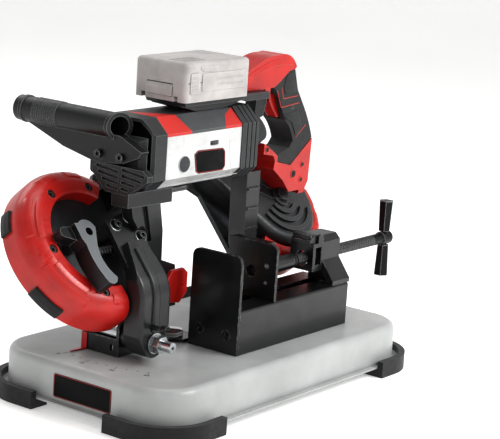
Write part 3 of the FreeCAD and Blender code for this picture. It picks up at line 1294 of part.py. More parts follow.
os.makedirs("parts", exist_ok=True)
for label, item in nodes.items():
    item.Shape.exportStep("parts/%s.step" % label)
whole_box = FreeCAD.BoundBox()
for item in nodes.values():
    whole_box.add(item.Shape.BoundBox)
print("%d nodes, box %s" % (len(nodes), whole_box))
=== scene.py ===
import bpy
import bmesh
import json
import math
from mathutils import Matrix, Vector
from mathutils.bvhtree import BVHTree


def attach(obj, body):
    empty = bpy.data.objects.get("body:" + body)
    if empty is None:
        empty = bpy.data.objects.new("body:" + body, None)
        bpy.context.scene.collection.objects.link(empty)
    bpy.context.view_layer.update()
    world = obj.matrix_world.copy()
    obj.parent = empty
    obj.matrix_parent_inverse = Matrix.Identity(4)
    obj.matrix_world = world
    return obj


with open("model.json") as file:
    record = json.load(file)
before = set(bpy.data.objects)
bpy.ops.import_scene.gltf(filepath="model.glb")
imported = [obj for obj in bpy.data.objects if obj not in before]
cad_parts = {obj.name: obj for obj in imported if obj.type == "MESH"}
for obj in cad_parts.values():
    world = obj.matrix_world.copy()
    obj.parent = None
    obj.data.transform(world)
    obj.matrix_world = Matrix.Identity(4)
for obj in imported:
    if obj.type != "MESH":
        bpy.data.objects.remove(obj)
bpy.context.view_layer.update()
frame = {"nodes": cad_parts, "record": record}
NODES = frame["nodes"]
MM = 0.001
OFFSET = Vector((-5.0, -7.0, 0.0))      # tray centre to the frame's origin, in mm


def spot(x, y, z):
    """A point given from the tray's centre in mm, in the row frame in metres."""
    return (Vector((x, y, z)) + OFFSET) * MM


LOOP_TILT = math.radians(50)
COS, SIN = math.cos(LOOP_TILT), math.sin(LOOP_TILT)
LOOP_UP = Vector((0, -SIN, COS))        # out of the blade loop, towards the viewer
LOOP_CENTRE = (57, 166)                 # the loop's middle, in y and z from the tray's centre
LEVER_FACE = 59.6                       # where the tension lever's ground face starts, above the loop


def loop(u, v, n):
    """A point in the blade loop's tilted plane (u, v) at height n above it, in the row frame."""
    return spot(u, LOOP_CENTRE[0] + COS * v - SIN * n, LOOP_CENTRE[1] + SIN * v + COS * n)


def box(node):
    """A CAD node's lowest and highest corners, in mm from the tray's centre."""
    points = [v.co / MM - OFFSET for v in NODES[node].data.vertices]
    return [Vector([pick(p[i] for p in points) for i in range(3)]) for pick in (min, max)]


# ------------------------------------------------------------------ materials

def rgb(code):
    """A linear colour from a six-digit hex code."""
    parts = [int(code[i:i + 2], 16) / 255 for i in (0, 2, 4)]
    return [p / 12.92 if p <= 0.04045 else ((p + 0.055) / 1.055) ** 2.4 for p in parts] + [1.0]


def scaled(colour, share, lift=0.0):
    """The same colour made darker or paler, still opaque."""
    return [min(1.0, c * share + lift) for c in colour[:3]] + [1.0]


EDGE_CRISPNESS = 3.0                    # how fast a painted outline's edge fades, per mm
SOFT_EDGE = 0.0006                      # radius of the shaded rounding on every edge, in metres


class Finish:
    """One procedural material: a small node tree around a Principled shader."""

    def __init__(self, name, metallic=0.0, coat=0.0, specular=0.5, sheen=0.0):
        self.mat = bpy.data.materials.new(name)
        self.mat.use_nodes = True
        self.tree = self.mat.node_tree
        self.shader = self.tree.nodes["Principled BSDF"]
        self.shader.inputs["Metallic"].default_value = metallic
        self.shader.inputs["Coat Weight"].default_value = coat
        self.shader.inputs["Coat Roughness"].default_value = 0.15
        self.shader.inputs["Specular IOR Level"].default_value = specular
        self.shader.inputs["Sheen Weight"].default_value = sheen
        self.coords = self.tree.nodes.new("ShaderNodeTexCoord").outputs["Object"]

    def node(self, kind, values=(), **props):
        made = self.tree.nodes.new("ShaderNode" + kind)
        for prop, value in props.items():
            setattr(made, prop, value)
        for key, value in dict(values).items():
            self.put(made.inputs[key], value)
        return made

    def put(self, socket, value):
        if isinstance(value, bpy.types.NodeSocket):
            self.tree.links.new(value, socket)
        else:
            socket.default_value = value

    def math(self, operation, a, b=0.0, clamp=False):
        return self.node("Math", {0: a, 1: b}, operation=operation, use_clamp=clamp).outputs[0]

    def noise(self, scale, detail, stretch=(1, 1, 1)):
        mapped = self.node("Mapping", {"Vector": self.coords, "Scale": stretch}).outputs[0]
        return self.node("TexNoise", {"Vector": mapped, "Scale": scale, "Detail": detail,
                                      "Roughness": 0.55}).outputs[0]

    def ramp(self, value, low, high, out_low=0.0, out_high=1.0):
        return self.node("MapRange", {"Value": value, "From Min": low, "From Max": high,
                                      "To Min": out_low, "To Max": out_high}).outputs[0]

    def mix(self, share, a, b):
        made = self.tree.nodes.new("ShaderNodeMix")
        made.data_type = "RGBA"
        self.put(made.inputs[0], share)
        self.put(made.inputs[6], a)
        self.put(made.inputs[7], b)
        return made.outputs[2]

    def dot(self, a, b):
        return self.node("VectorMath", {0: a, 1: b}, operation="DOT_PRODUCT").outputs["Value"]

    def edges(self, radius=0.0012, low=0.006, high=0.12):
        """A mask that is 1 on outside and inside corners and 0 on flats."""
        rounded = self.node("Bevel", {"Radius": radius}, samples=4).outputs[0]
        plain = self.node("NewGeometry").outputs["Normal"]
        return self.ramp(self.math("SUBTRACT", 1.0, self.dot(rounded, plain)), low, high)

    def crevices(self, distance=0.012):
        """A mask that is 1 deep in corners and gaps."""
        open_sky = self.node("AmbientOcclusion", {"Distance": distance}, samples=4).outputs["AO"]
        return self.ramp(open_sky, 0.75, 0.25)

    def inside(self, outline):
        """A mask, seen from above, that is 1 inside a convex outline in mm from the tray's centre."""
        split = self.node("SeparateXYZ", {0: self.coords}).outputs
        mask = None
        for (ax, ay), (bx, by) in zip(outline, outline[1:] + outline[:1]):
            nx, ny = -(by - ay), bx - ax
            size = math.hypot(nx, ny)
            nx, ny = nx / size, ny / size
            gap = nx * (OFFSET.x + ax) + ny * (OFFSET.y + ay)
            across = self.math("ADD", self.math("MULTIPLY", split[0], nx / MM),
                               self.math("MULTIPLY", split[1], ny / MM))
            side = self.math("MULTIPLY", self.math("SUBTRACT", across, gap), EDGE_CRISPNESS, clamp=True)
            mask = side if mask is None else self.math("MULTIPLY", mask, side)
        return mask

    def surface(self, colour, rough, bumps):
        """Join colour, roughness and a list of (height value, depth in metres) into the shader."""
        self.put(self.shader.inputs["Base Color"], colour)
        self.put(self.shader.inputs["Roughness"], rough)
        normal = self.node("Bevel", {"Radius": SOFT_EDGE}, samples=4).outputs[0]
        for height, depth in bumps:
            normal = self.node("Bump", {"Height": height, "Distance": depth, "Strength": 1.0,
                                        "Normal": normal}).outputs[0]
        self.put(self.shader.inputs["Normal"], normal)
        return self.mat


def moulded(name, code, rough=0.45, grain=2200, depth=0.00004, edge_rub_and_highlight_tint="FFFFFF", edge_rub_and_highlight=0.10,
            coat=0.0, specular=0.5, patch=None):
    """Moulded plastic: spark-eroded grain, faint flow clouds, edges painted paler (part rubbed plastic,
    part painted highlight) and painted shade darkening the corners.
    """
    f = Finish(name, coat=coat, specular=specular)
    base = rgb(code)
    colour = f.mix(f.ramp(f.noise(38, 4), 0.3, 0.7), scaled(base, 0.72), base)
    if patch:
        colour = patch(f, colour)
    # Edges painted paler: part rubbed plastic, part painted highlight.
    colour = f.mix(f.math("MULTIPLY", f.edges(), edge_rub_and_highlight), colour, rgb(edge_rub_and_highlight_tint))
    # Painted shade: darker deep in corners and gaps.
    colour = f.mix(f.math("MULTIPLY", f.crevices(), 0.55), colour, scaled(base, 0.25))
    scratch = f.noise(60, 6, (1, 9, 3))
    roughness = f.ramp(scratch, 0.3, 0.75, rough - 0.07, rough + 0.12)
    return f.surface(colour, roughness, [(f.noise(grain, 2), depth), (f.noise(90, 2), depth * 2)])


def painted(name, code, rough=0.35, peel=700, depth=0.00005, edge_rub_and_highlight=0.25, edge_rub_and_highlight_tint="9A9C9E", coat=0.2):
    """Powder coat: orange-peel skin, slight tone shifts, edge marks that are part bare metal showing at
    rubbed edges and part painted highlight, and painted shade darkening the corners.
    """
    f = Finish(name, coat=coat)
    base = rgb(code)
    colour = f.mix(f.ramp(f.noise(14, 5), 0.35, 0.7), scaled(base, 0.80), base)
    # Edge marks: part chipped paint showing bare metal, part painted highlight.
    chips_and_highlight = f.math("MULTIPLY", f.edges(0.0009, 0.02, 0.14), f.ramp(f.noise(240, 5), 0.48, 0.62))
    colour = f.mix(f.math("MULTIPLY", chips_and_highlight, edge_rub_and_highlight), colour, rgb(edge_rub_and_highlight_tint))
    # Painted shade: darker deep in corners and gaps.
    colour = f.mix(f.math("MULTIPLY", f.crevices(0.008), 0.5), colour, scaled(base, 0.3))
    roughness = f.ramp(f.noise(45, 5), 0.3, 0.7, rough - 0.06, rough + 0.10)
    return f.surface(colour, roughness, [(f.noise(peel, 1.5), depth), (f.noise(peel * 4, 1), depth * 0.3)])


def metal(name, code, rough=0.3, lines=(1, 1, 14), tint="5A5048", metallic=1.0):
    """Bare metal: drawn or ground lines along one direction, stains, edges painted brighter (part rubbed
    metal, part painted highlight) and painted shade darkening the corners.
    """
    f = Finish(name, metallic=metallic)
    base = rgb(code)
    grain = f.noise(700, 4, lines)
    colour = f.mix(f.ramp(grain, 0.3, 0.7), scaled(base, 0.8), base)
    colour = f.mix(f.math("MULTIPLY", f.ramp(f.noise(55, 5), 0.5, 0.75), 0.25), colour, rgb(tint))
    # Edges painted brighter: part rubbed metal, part painted highlight.
    colour = f.mix(f.math("MULTIPLY", f.edges(), 0.5), colour, rgb("E8E9EA"))
    # Painted shade: darker deep in corners and gaps.
    colour = f.mix(f.math("MULTIPLY", f.crevices(0.006), 0.6), colour, scaled(base, 0.2))
    roughness = f.ramp(grain, 0.25, 0.75, rough - 0.08, rough + 0.14)
    return f.surface(colour, roughness, [(grain, 0.00002)])


def cast(name, code, rough=0.5, metallic=0.6, edge_rub_and_highlight=0.4):
    """Die casting: pebbled skin, cloudy tone, edges painted brighter (part rubbed casting, part painted
    highlight) and painted shade darkening the corners.
    """
    f = Finish(name, metallic=metallic)
    base = rgb(code)
    colour = f.mix(f.ramp(f.noise(24, 6), 0.3, 0.7), scaled(base, 0.7), base)
    # Edges painted brighter: part rubbed casting, part painted highlight.
    colour = f.mix(f.math("MULTIPLY", f.edges(), edge_rub_and_highlight), colour, scaled(base, 2.6))
    # Painted shade: darker deep in corners and gaps.
    colour = f.mix(f.math("MULTIPLY", f.crevices(), 0.6), colour, scaled(base, 0.2))
    roughness = f.ramp(f.noise(130, 4), 0.3, 0.7, rough - 0.08, rough + 0.12)
    return f.surface(colour, roughness, [(f.noise(620, 3), 0.00009), (f.noise(1900, 2), 0.000036)])


def rubber(name, code, rough=0.68, pebble=1500, depth=0.00005):
    """Moulded rubber or over-moulded grip: matte, pebbled, edges painted paler (part chalky rubbing, part
    painted highlight).
    """
    f = Finish(name, specular=0.35, sheen=0.15)
    base = rgb(code)
    colour = f.mix(f.ramp(f.noise(60, 5), 0.3, 0.7), scaled(base, 0.75), base)
    # Edges painted paler: part chalky rubbing, part painted highlight.
    colour = f.mix(f.math("MULTIPLY", f.edges(), 0.3), colour, scaled(base, 3, 0.02))
    colour = f.mix(f.math("MULTIPLY", f.crevices(), 0.4), colour, rgb("3A3733"))
    cells = f.node("TexVoronoi", {"Vector": f.coords, "Scale": pebble}).outputs["Distance"]
    roughness = f.ramp(f.noise(110, 4), 0.3, 0.7, rough - 0.08, rough + 0.12)
    return f.surface(colour, roughness, [(cells, depth), (f.noise(300, 3), 0.00004)])


def two_tone(name, body_code, face_code):
    """Black casting whose flat front, square to the blade loop, is ground to bright metal."""
    f = Finish(name, metallic=0.35)
    facing = f.dot(f.node("TexCoord").outputs["Normal"], LOOP_UP)
    height = f.dot(f.coords, LOOP_UP)
    face_height = loop(0, 0, LEVER_FACE).dot(LOOP_UP)
    high_up = f.ramp(height, face_height, face_height + MM)
    ground = f.math("MULTIPLY", f.ramp(facing, 0.93, 0.97), high_up)
    lines = f.noise(500, 4, (1, 9, 1))
    base, face = rgb(body_code), rgb(face_code)
    bright = f.mix(f.ramp(lines, 0.3, 0.7), scaled(face, 0.75), face)
    dark = f.mix(f.ramp(f.noise(40, 4), 0.3, 0.7), scaled(base, 0.6), base)
    colour = f.mix(ground, dark, bright)
    # Edges painted paler: part rubbed metal, part painted highlight.
    colour = f.mix(f.math("MULTIPLY", f.edges(), 0.5), colour, rgb("C4C6C8"))
    roughness = f.ramp(lines, 0.25, 0.75, 0.3, 0.46)
    return f.surface(colour, roughness, [(f.noise(620, 3), 0.00006), (lines, 0.00002)])


def shell_patches(f, colour):
    """Red lacquer fields across the motor's top shell."""
    for outline in (
        [(-133, -30), (-86, -30), (-104, 2), (-133, 40)],
        [(-34, -30), (8, -30), (8, -4), (-16, -12)],
        [(-70, 6), (-40, -6), (-34, 8), (-60, 20)],
    ):
        colour = f.mix(f.inside(outline), colour, rgb("C02A22"))
    return colour


MATERIALS = {
    "light_enamel": painted("light_enamel", "B4B6B5", 0.40, 620, 0.00004, 0.3, "8E9092", 0.12),
    # Strong pale edge marks: part chipped paint, part painted highlight along the black edges.
    "black_enamel": painted("black_enamel", "08090A", 0.34, 800, 0.00004, 1.0, "B8BABC"),
    "red_enamel": painted("red_enamel", "C3161C", 0.3),
    "print_black": painted("print_black", "2A2B2D", 0.5, 900, 0.00001, 0.5),
    "black_casting": painted("black_casting", "17181A", 0.40, 500, 0.00007, 0.6, coat=0.25),
    "grey_casting": cast("grey_casting", "5E6164"),
    "frame_casting": cast("frame_casting", "3C3E41", 0.38, 0.35, 0.3),
    "lever_casting": two_tone("lever_casting", "17181A", "74787B"),
    "red_plastic": moulded("red_plastic", "C2160C", 0.34, 1500, 0.00002, "F2806C", 0.30, coat=0.2),
    "black_plastic": moulded("black_plastic", "101113", 0.40, 1800, edge_rub_and_highlight_tint="A6A8AA", edge_rub_and_highlight=0.55),
    "dark_plastic": moulded("dark_plastic", "2C2D2F", grain=1800, edge_rub_and_highlight_tint="A8AAAC", edge_rub_and_highlight=0.30),
    "shell_plastic": moulded("shell_plastic", "4E5052", grain=1800, edge_rub_and_highlight_tint="A8AAAC", edge_rub_and_highlight=0.30,
                             patch=shell_patches),
    "pale_plastic": moulded("pale_plastic", "BDB8B6", 0.5, 1800, 0.00003, "F4F2F0", 0.5),
    "pale_shade": moulded("pale_shade", "AFAAA8", 0.5, 1800, 0.00003, edge_rub_and_highlight=0.4),
    "silver_plastic": moulded("silver_plastic", "D6D7D6", 0.30, 2600, 0.00001, edge_rub_and_highlight=0.3, coat=0.35),
    "badge_face": moulded("badge_face", "050506", 0.55, 900, 0.00001, edge_rub_and_highlight=0.05, specular=0.15),
    "cap_plastic": moulded("cap_plastic", "3E4043", 0.5, edge_rub_and_highlight_tint="8A8C8E", specular=0.3),
    "seam_shadow": moulded("seam_shadow", "1A0606", 0.7),
    "soft_grip": rubber("soft_grip", "1F2021", 0.62, pebble=900, depth=0.0001),
    "black_rubber": rubber("black_rubber", "0F0F10", 0.6),
    "zinc_steel": metal("zinc_steel", "C9CCCE", 0.22, (3, 3, 3)),
    "black_oxide": metal("black_oxide", "1D1E20", 0.35, (14, 2, 2), "0B0B0C", 0.7),
    "gear_steel": metal("gear_steel", "8E9194", 0.28, (4, 4, 4)),
    "spring_steel": metal("spring_steel", "7C7F82"),
    "lamination_steel": metal("lamination_steel", "74777A", 0.4, (40, 1, 1)),
    "carbide": metal("carbide", "5D6063"),
    "blade_steel": metal("blade_steel", "A8ABAD", 0.25, (1, 12, 12)),
}
SLOT = {row["node"]: row["material_slot"] for row in frame["record"]["subparts"]}
LOOK = {
    "top_shell": "shell_plastic",
    "tension_lever": "lever_casting",
    "main_frame": "frame_casting",
}

for name, thing in NODES.items():
    thing.data.materials.clear()
    thing.data.materials.append(MATERIALS[LOOK.get(name, SLOT[name])])


# ------------------------------------------------------------------ mesh building

SHARP_ANGLE = math.radians(40)


def link(thing):
    bpy.context.scene.collection.objects.link(thing)


def finish_piece(name, bm, body, slot_name, look=None):
    """Turn a bmesh into a shown piece that rides on a body."""
    bmesh.ops.recalc_face_normals(bm, faces=bm.faces)
    mesh = bpy.data.meshes.new(name)
    bm.to_mesh(mesh)
    bm.free()
    piece = bpy.data.objects.new(name, mesh)
    link(piece)
    mesh.materials.append(MATERIALS[look or slot_name])
    for face in mesh.polygons:
        face.use_smooth = True
    mesh.set_sharp_from_angle(angle=SHARP_ANGLE)
    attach(piece, body)


def raised_plate(bm, outline, place, height, bevel, steps=2):
    """An extruded flat outline with rounded upper edges; place maps (x, y, z) in mm to the frame."""
    plate = bmesh.new()
    base = [plate.verts.new((x, y, 0)) for x, y in outline]
    top = [plate.verts.new((x, y, height)) for x, y in outline]
    plate.faces.new(base[::-1])
    cap = plate.faces.new(top)
    count = len(outline)
    for i in range(count):
        k = (i + 1) % count
        plate.faces.new((base[i], base[k], top[k], top[i]))
    bmesh.ops.bevel(plate, geom=list(cap.edges), offset=bevel, segments=steps, profile=0.5,
                    affect="EDGES", clamp_overlap=True)
    for v in plate.verts:
        v.co = place(*v.co)
    merge(bm, plate)


def merge(bm, other):
    mesh = bpy.data.meshes.new("part")
    other.to_mesh(mesh)
    other.free()
    bm.from_mesh(mesh)
    bpy.data.meshes.remove(mesh)


def rounded_rect(x0, y0, x1, y1, r):
    steps = 5
    corners = ((x1 - r, y1 - r, 0), (x0 + r, y1 - r, 90), (x0 + r, y0 + r, 180), (x1 - r, y0 + r, 270))
    points = []
    for cx, cy, start in corners:
        for i in range(steps + 1):
            a = math.radians(start + 90 * i / steps)
            points.append((cx + r * math.cos(a), cy + r * math.sin(a)))
    return points


def round_outline(cx, cy, r, steps=32):
    angles = [2 * math.pi * i / steps for i in range(steps)]
    return [(cx + r * math.cos(a), cy + r * math.sin(a)) for a in angles]


def on_side(y, outward=-1):
    """Local (x, z, height) on a face that looks towards -Y, or towards +Y where outward is 1."""
    return lambda a, b, h: spot(a, y + outward * h, b)


def on_end(x):
    """Local (y, z, height) on a face that looks towards -X."""
    return lambda a, b, h: spot(x - h, a, b)


def on_top(z):
    """Local (x, y, height) on a level face."""
    return lambda a, b, h: spot(a, b, z + h)


def on_loop(n):
    """Local (u, v, height) on a plane parallel to the blade loop."""
    return lambda a, b, h: loop(a, b, n + h)


def tube(bm, points, radius, place):
    """An eight-sided bead along a path of local points, closed at both ends."""
    bead(bm, [place(*p) for p in points], radius, 8)


def bead(bm, path, radius, sides):
    """A round bead along points already in the row frame."""
    angles = [2 * math.pi * k / sides for k in range(sides)]
    rings = []
    for i, p in enumerate(path):
        ahead = (path[min(i + 1, len(path) - 1)] - path[max(i - 1, 0)]).normalized()
        side = ahead.cross(Vector((0.31, 0.77, 0.55))).normalized()
        rise = ahead.cross(side)
        rings.append([bm.verts.new(p + (side * math.cos(a) + rise * math.sin(a)) * radius * MM)
                      for a in angles])
    for one, two in zip(rings, rings[1:]):
        for k in range(sides):
            m = (k + 1) % sides
            bm.faces.new((one[k], one[m], two[m], two[k]))
    bm.faces.new(rings[0][::-1])
    bm.faces.new(rings[-1])


def dense(points, step, height=0.0):
    """A flat path at one height, with points no further apart than step mm."""
    made = [points[0]]
    for a, b in zip(points, points[1:]):
        parts = max(1, int((Vector(b) - Vector(a)).length / step))
        made += [tuple(Vector(a).lerp(Vector(b), i / parts)) for i in range(1, parts + 1)]
    return [(a, b, height) for a, b in made]


class Skin:
    """Drops points onto a CAD node's own surface, against the way the blade loop faces."""

    REACH = 0.12

    def __init__(self, node):
        source = NODES[node].data
        faces = [p.vertices for p in source.polygons]
        self.tree = BVHTree.FromPolygons([v.co for v in source.vertices], faces)

    def drop(self, point):
        hit = self.tree.ray_cast(point + LOOP_UP * self.REACH, -LOOP_UP, self.REACH * 2)[0]
        if hit is None:
            raise RuntimeError("a dropped point misses its surface")
        return hit


RIM_SINK = 0.25                         # how far a draped pad's edge lies below the skin, in mm


def draped(bm, skin, grid, lift):
    """A raised pad that follows a skin: its edge is sunk and its middle stands lift mm proud."""
    rows = []
    for i, line in enumerate(grid):
        row = []
        for j, point in enumerate(line):
            rim = i in (0, len(grid) - 1) or j in (0, len(line) - 1)
            row.append(bm.verts.new(skin.drop(point) + LOOP_UP * MM * (-RIM_SINK if rim else lift)))
        rows.append(row)
    for a, b in zip(rows, rows[1:]):
        for k in range(len(a) - 1):
            bm.faces.new((a[k], a[k + 1], b[k + 1], b[k]))


def pad_steps(count, soft):
    """Shares from 0 to 1 with a narrow first and last step, for a pad's sloped border."""
    return [0.0, soft] + [soft + (1 - 2 * soft) * i / count for i in range(1, count)] + [1 - soft, 1.0]


def ring_pad(bm, skin, centre, radii, angles, lift, border=1.2):
    """A raised pad on a guard, between two radii and two angles round a wheel centre."""
    (r0, r1), (a0, a1) = radii, angles
    arc = math.radians(a1 - a0) * (r0 + r1) / 2
    grid = []
    for s in pad_steps(max(3, int(arc / 4)), min(0.3, border / arc)):
        a = math.radians(a0 + (a1 - a0) * s)
        spokes = [r0 + (r1 - r0) * share for share in pad_steps(5, min(0.3, border / (r1 - r0)))]
        grid.append([loop(centre + r * math.cos(a), r * math.sin(a), 60) for r in spokes])
    draped(bm, skin, grid, lift)


# ------------------------------------------------------------------ printed and moulded details

# Places in mm from the tray's centre. u runs along the blade loop.
FRONT_U, REAR_U = -185.0, 149.4         # the two wheels' centres
TRAY_TOP = box("base_tray")[1].z
TRAY_END = -235.0                       # the tray's upright end, inside the foot flange
MOTOR_FRONT = box("top_shell")[0].y     # the motor's flat face lies level with its top shell
SIDES = (("near", 0, -1), ("far", 1, 1))  # name, which corner of a box, and the way it looks
GRIP_SCREW = (137.5, 314.2)
HANDLE_HOLES = ((90, 266, 3.2), (148, 230, 4.6), (166, 240, 2.8), (165, 221, 2.8))
MITRE_CENTRE = Vector((-60.0, 8.0))
MITRE_ZERO = 163.5                      # the scale's 0 mark, in degrees round the mitre centre
TICK_RADIUS, NUMBER_RADIUS = 143.0, 156.0
ARM_FACE = 51.0                         # the support arm's screwed face, above the blade loop
ARM_SCREWS = ((-160, 5), (-135, 11), (-130, -14))


def guard_panels():
    """Raised panels and dark seams on the two red guards."""
    skin = Skin("front_bumper")
    bm = bmesh.new()
    for radii, angles in (
        ((72, 81), (130, 171)), ((83, 91), (133, 168)), ((75, 88), (182, 189)), ((73, 81), (194, 230)),
        ((83, 91), (191, 233)), ((66, 76), (232, 237)), ((70, 82), (255, 262)),
    ):
        ring_pad(bm, skin, FRONT_U, radii, angles, 1.7)
    for angles in ((98, 113), (70, 85)):
        ring_pad(bm, skin, FRONT_U, (79, 90), angles, 1.6)
    finish_piece("front_guard_panels", bm, "head", "red_plastic")
    bm = bmesh.new()
    for a in (125.0, 178.5, 240.0):
        ring_pad(bm, skin, FRONT_U, (60.5, 91.5), (a - 0.45, a + 0.45), 0.06, border=0.3)
    finish_piece("front_guard_seams", bm, "head", "black_plastic", "seam_shadow")
    skin = Skin("rear_bumper")
    bm = bmesh.new()
    for angles in ((-120, -100), (-94, -72), (-66, -44), (-36, -20), (-12, 6), (14, 32)):
        ring_pad(bm, skin, REAR_U, (68, 79.5), angles, 0.9, border=0.9)
    finish_piece("rear_guard_panels", bm, "head", "red_plastic")


def tray_badge():
    """A blank plate with a red rim on the tray's end."""
    place = on_end(TRAY_END)
    bm = bmesh.new()
    raised_plate(bm, rounded_rect(-50, 16.5, 34, 43.5, 2.5), place, 0.5, 0.2)
    finish_piece("tray_badge", bm, "base", "black_plastic", "badge_face")
    bm = bmesh.new()
    ring = rounded_rect(-49.2, 17.3, 33.2, 42.7, 2.2)
    tube(bm, dense(ring + ring[:1], 6, 0.5), 0.28, place)
    finish_piece("tray_badge_rim", bm, "base", "red_plastic")


def motor_details():
    """The motor's blank badge with its red rim, the brush cap and the trim lines."""
    place = on_side(MOTOR_FRONT)
    bm = bmesh.new()
    shape = [(-83, 282), (-77, 286), (-31, 284.5), (-27, 280.5),
             (-25.5, 263), (-30, 258.5), (-74, 259), (-79, 262)]
    raised_plate(bm, shape, place, 0.6, 0.25)
    finish_piece("motor_badge", bm, "head", "black_plastic", "badge_face")
    bm = bmesh.new()
    inner = [(-82, 281.6), (-76.7, 285.2), (-31.4, 283.7), (-27.9, 280.1),
             (-26.4, 263.4), (-30.4, 259.4), (-73.8, 259.9), (-78.2, 262.6)]
    tube(bm, dense(inner + inner[:1], 4, 0.6), 0.3, place)
    finish_piece("motor_badge_rim", bm, "head", "red_plastic")
    bm = bmesh.new()
    raised_plate(bm, round_outline(-101, 273, 9.0), place, 1.9, 0.5)
    slot_bar = [(-107.5, 272.2), (-94.5, 272.2), (-94.5, 273.8), (-107.5, 273.8)]
    raised_plate(bm, slot_bar, place, 2.3, 0.2, 1)
    finish_piece("brush_cap", bm, "head", "dark_plastic", "cap_plastic")
    bm = bmesh.new()
    for ends in ([(-22, 304), (-12, 250)], [(-128, 251.5), (-1, 251.5)]):
        tube(bm, dense(ends, 5), 0.3, place)
    finish_piece("motor_trim_lines", bm, "head", "silver_plastic")


def mitre_ray(degrees):
    """The angle in radians and the outward direction of a mark on the mitre scale."""
    a = math.radians(MITRE_ZERO + degrees)
    return a, Vector((math.cos(a), math.sin(a)))


def mitre_ticks():
    """Printed ticks every 5 degrees, longer at each number."""
    bm = bmesh.new()
    for k in range(10):
        out = mitre_ray(5 * k)[1]
        aside = Vector((-out.y, out.x)) * 0.35
        near = MITRE_CENTRE + out * TICK_RADIUS
        far = near + out * (6.5 if k % 3 == 0 else 3.8)
        tick = [near + aside, near - aside, far - aside, far + aside]
        raised_plate(bm, tick, on_top(TRAY_TOP), 0.12, 0.03, 1)
    finish_piece("mitre_scale_ticks", bm, "base", "black_plastic", "print_black")


def mitre_number(label):
    """One printed number of the mitre scale, at the angle that it names."""
    a, out = mitre_ray(int(label))
    name = "mitre_number_" + label
    data = bpy.data.curves.new(name, "FONT")
    data.body = label
    data.size = 7.2 * MM
    data.extrude = 0.06 * MM
    data.align_x, data.align_y = "CENTER", "CENTER"
    sign = bpy.data.objects.new(name, data)
    link(sign)
    where = MITRE_CENTRE + out * NUMBER_RADIUS
    sign.location = spot(where.x, where.y, TRAY_TOP + 0.1)
    sign.rotation_euler = (0, 0, a + math.pi / 2)
    bpy.context.view_layer.update()
    mesh = bpy.data.meshes.new_from_object(sign)
    mesh.transform(sign.matrix_world)
    bpy.data.objects.remove(sign)
    mesh.materials.clear()
    mesh.materials.append(MATERIALS["print_black"])
    number = bpy.data.objects.new(name, mesh)
    link(number)
    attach(number, "base")


def grip_details(side, place):
    """Red piping, soft panels and a screw on one flank of the soft grip."""
    bm = bmesh.new()
    for path in (
        [(112, 340), (117, 326), (147, 327.5)],
        [(103, 337), (113.5, 315.5), (150.5, 318.5)],
        [(149, 276), (168, 290)],
    ):
        tube(bm, dense(path, 2), 0.55, place)
    finish_piece("grip_piping_" + side, bm, "head", "red_plastic")
    bm = bmesh.new()
    palm = [(120, 306), (148, 309), (160, 290), (152, 278), (146, 279), (138, 296), (126, 300)]
    raised_plate(bm, palm, place, 0.9, 0.6, 3)
    thumb = [(122, 356), (134, 357.5), (143, 333), (120, 331.5), (115.5, 341)]
    raised_plate(bm, thumb, place, 0.8, 0.5, 3)
    finish_piece("grip_panels_" + side, bm, "head", "soft_grip")
    bm = bmesh.new()
    raised_plate(bm, round_outline(*GRIP_SCREW, 2.4, 20), place, 0.5, 0.2)
    finish_piece("grip_screw_" + side, bm, "head", "black_oxide")


def handle_details(side, place):
    """Dark screw holes with red rims, and the bridge's swelling, on one flank of the handle."""
    bm = bmesh.new()
    for x, z, r in HANDLE_HOLES:
        raised_plate(bm, round_outline(x, z, r, 24), place, 0.25, 0.08, 1)
    finish_piece("handle_holes_" + side, bm, "head", "black_plastic", "seam_shadow")
    bm = bmesh.new()
    for x, z, r in HANDLE_HOLES:
        rim = round_outline(x, z, r + 0.5, 30)
        tube(bm, [(a, b, 0.1) for a, b in rim + rim[:1]], 0.7, place)
    bridge = [(30, 352), (44, 359.5), (66, 368), (88, 374), (106, 375), (128, 371.5),
              (133, 366), (118, 367.5), (96, 368), (66, 361), (44, 352.5), (34, 347)]
    raised_plate(bm, bridge, place, 0.8, 0.5, 3)
    finish_piece("handle_mouldings_" + side, bm, "head", "red_plastic")


def battery_details():
    """The battery's lid panel, side panels and ribs."""
    corners = box("battery_pack")
    bm = bmesh.new()
    raised_plate(bm, rounded_rect(-42, -9, 10, 45, 3), on_top(corners[1].z - 0.35), 0.34, 0.15)
    finish_piece("battery_lid_panel", bm, "battery", "pale_plastic", "pale_shade")
    bm = bmesh.new()
    notch = [(-70, 374.5), (-50, 374.5), (-46, 377.5), (-44, 380), (-74, 380), (-76, 377.5)]
    for _, corner, outward in SIDES:
        place = on_side(corners[corner].y, outward)
        raised_plate(bm, rounded_rect(-72, 352, 10, 372, 2.5), place, 0.9, 0.6, 3)
        raised_plate(bm, rounded_rect(-93, 350, -77, 373, 2.0), place, 1.3, 0.7, 3)
        raised_plate(bm, notch, place, 0.8, 0.4)
    finish_piece("battery_side_panels", bm, "battery", "pale_plastic")
    bm = bmesh.new()
    for _, corner, outward in SIDES:
        y = corners[corner].y
        long_panel = on_side(y + 0.9 * outward, outward)
        end_panel = on_side(y + 1.3 * outward, outward)
        for z in (357, 364):
            raised_plate(bm, rounded_rect(-45, z, 4, z + 3, 1.2), long_panel, 0.2, 0.06, 1)
        for k in range(4):
            z = 353 + 4.6 * k
            raised_plate(bm, rounded_rect(-91, z, -79, z + 2.4, 1.0), end_panel, 0.5, 0.2)
    finish_piece("battery_side_ribs", bm, "battery", "pale_plastic", "pale_shade")


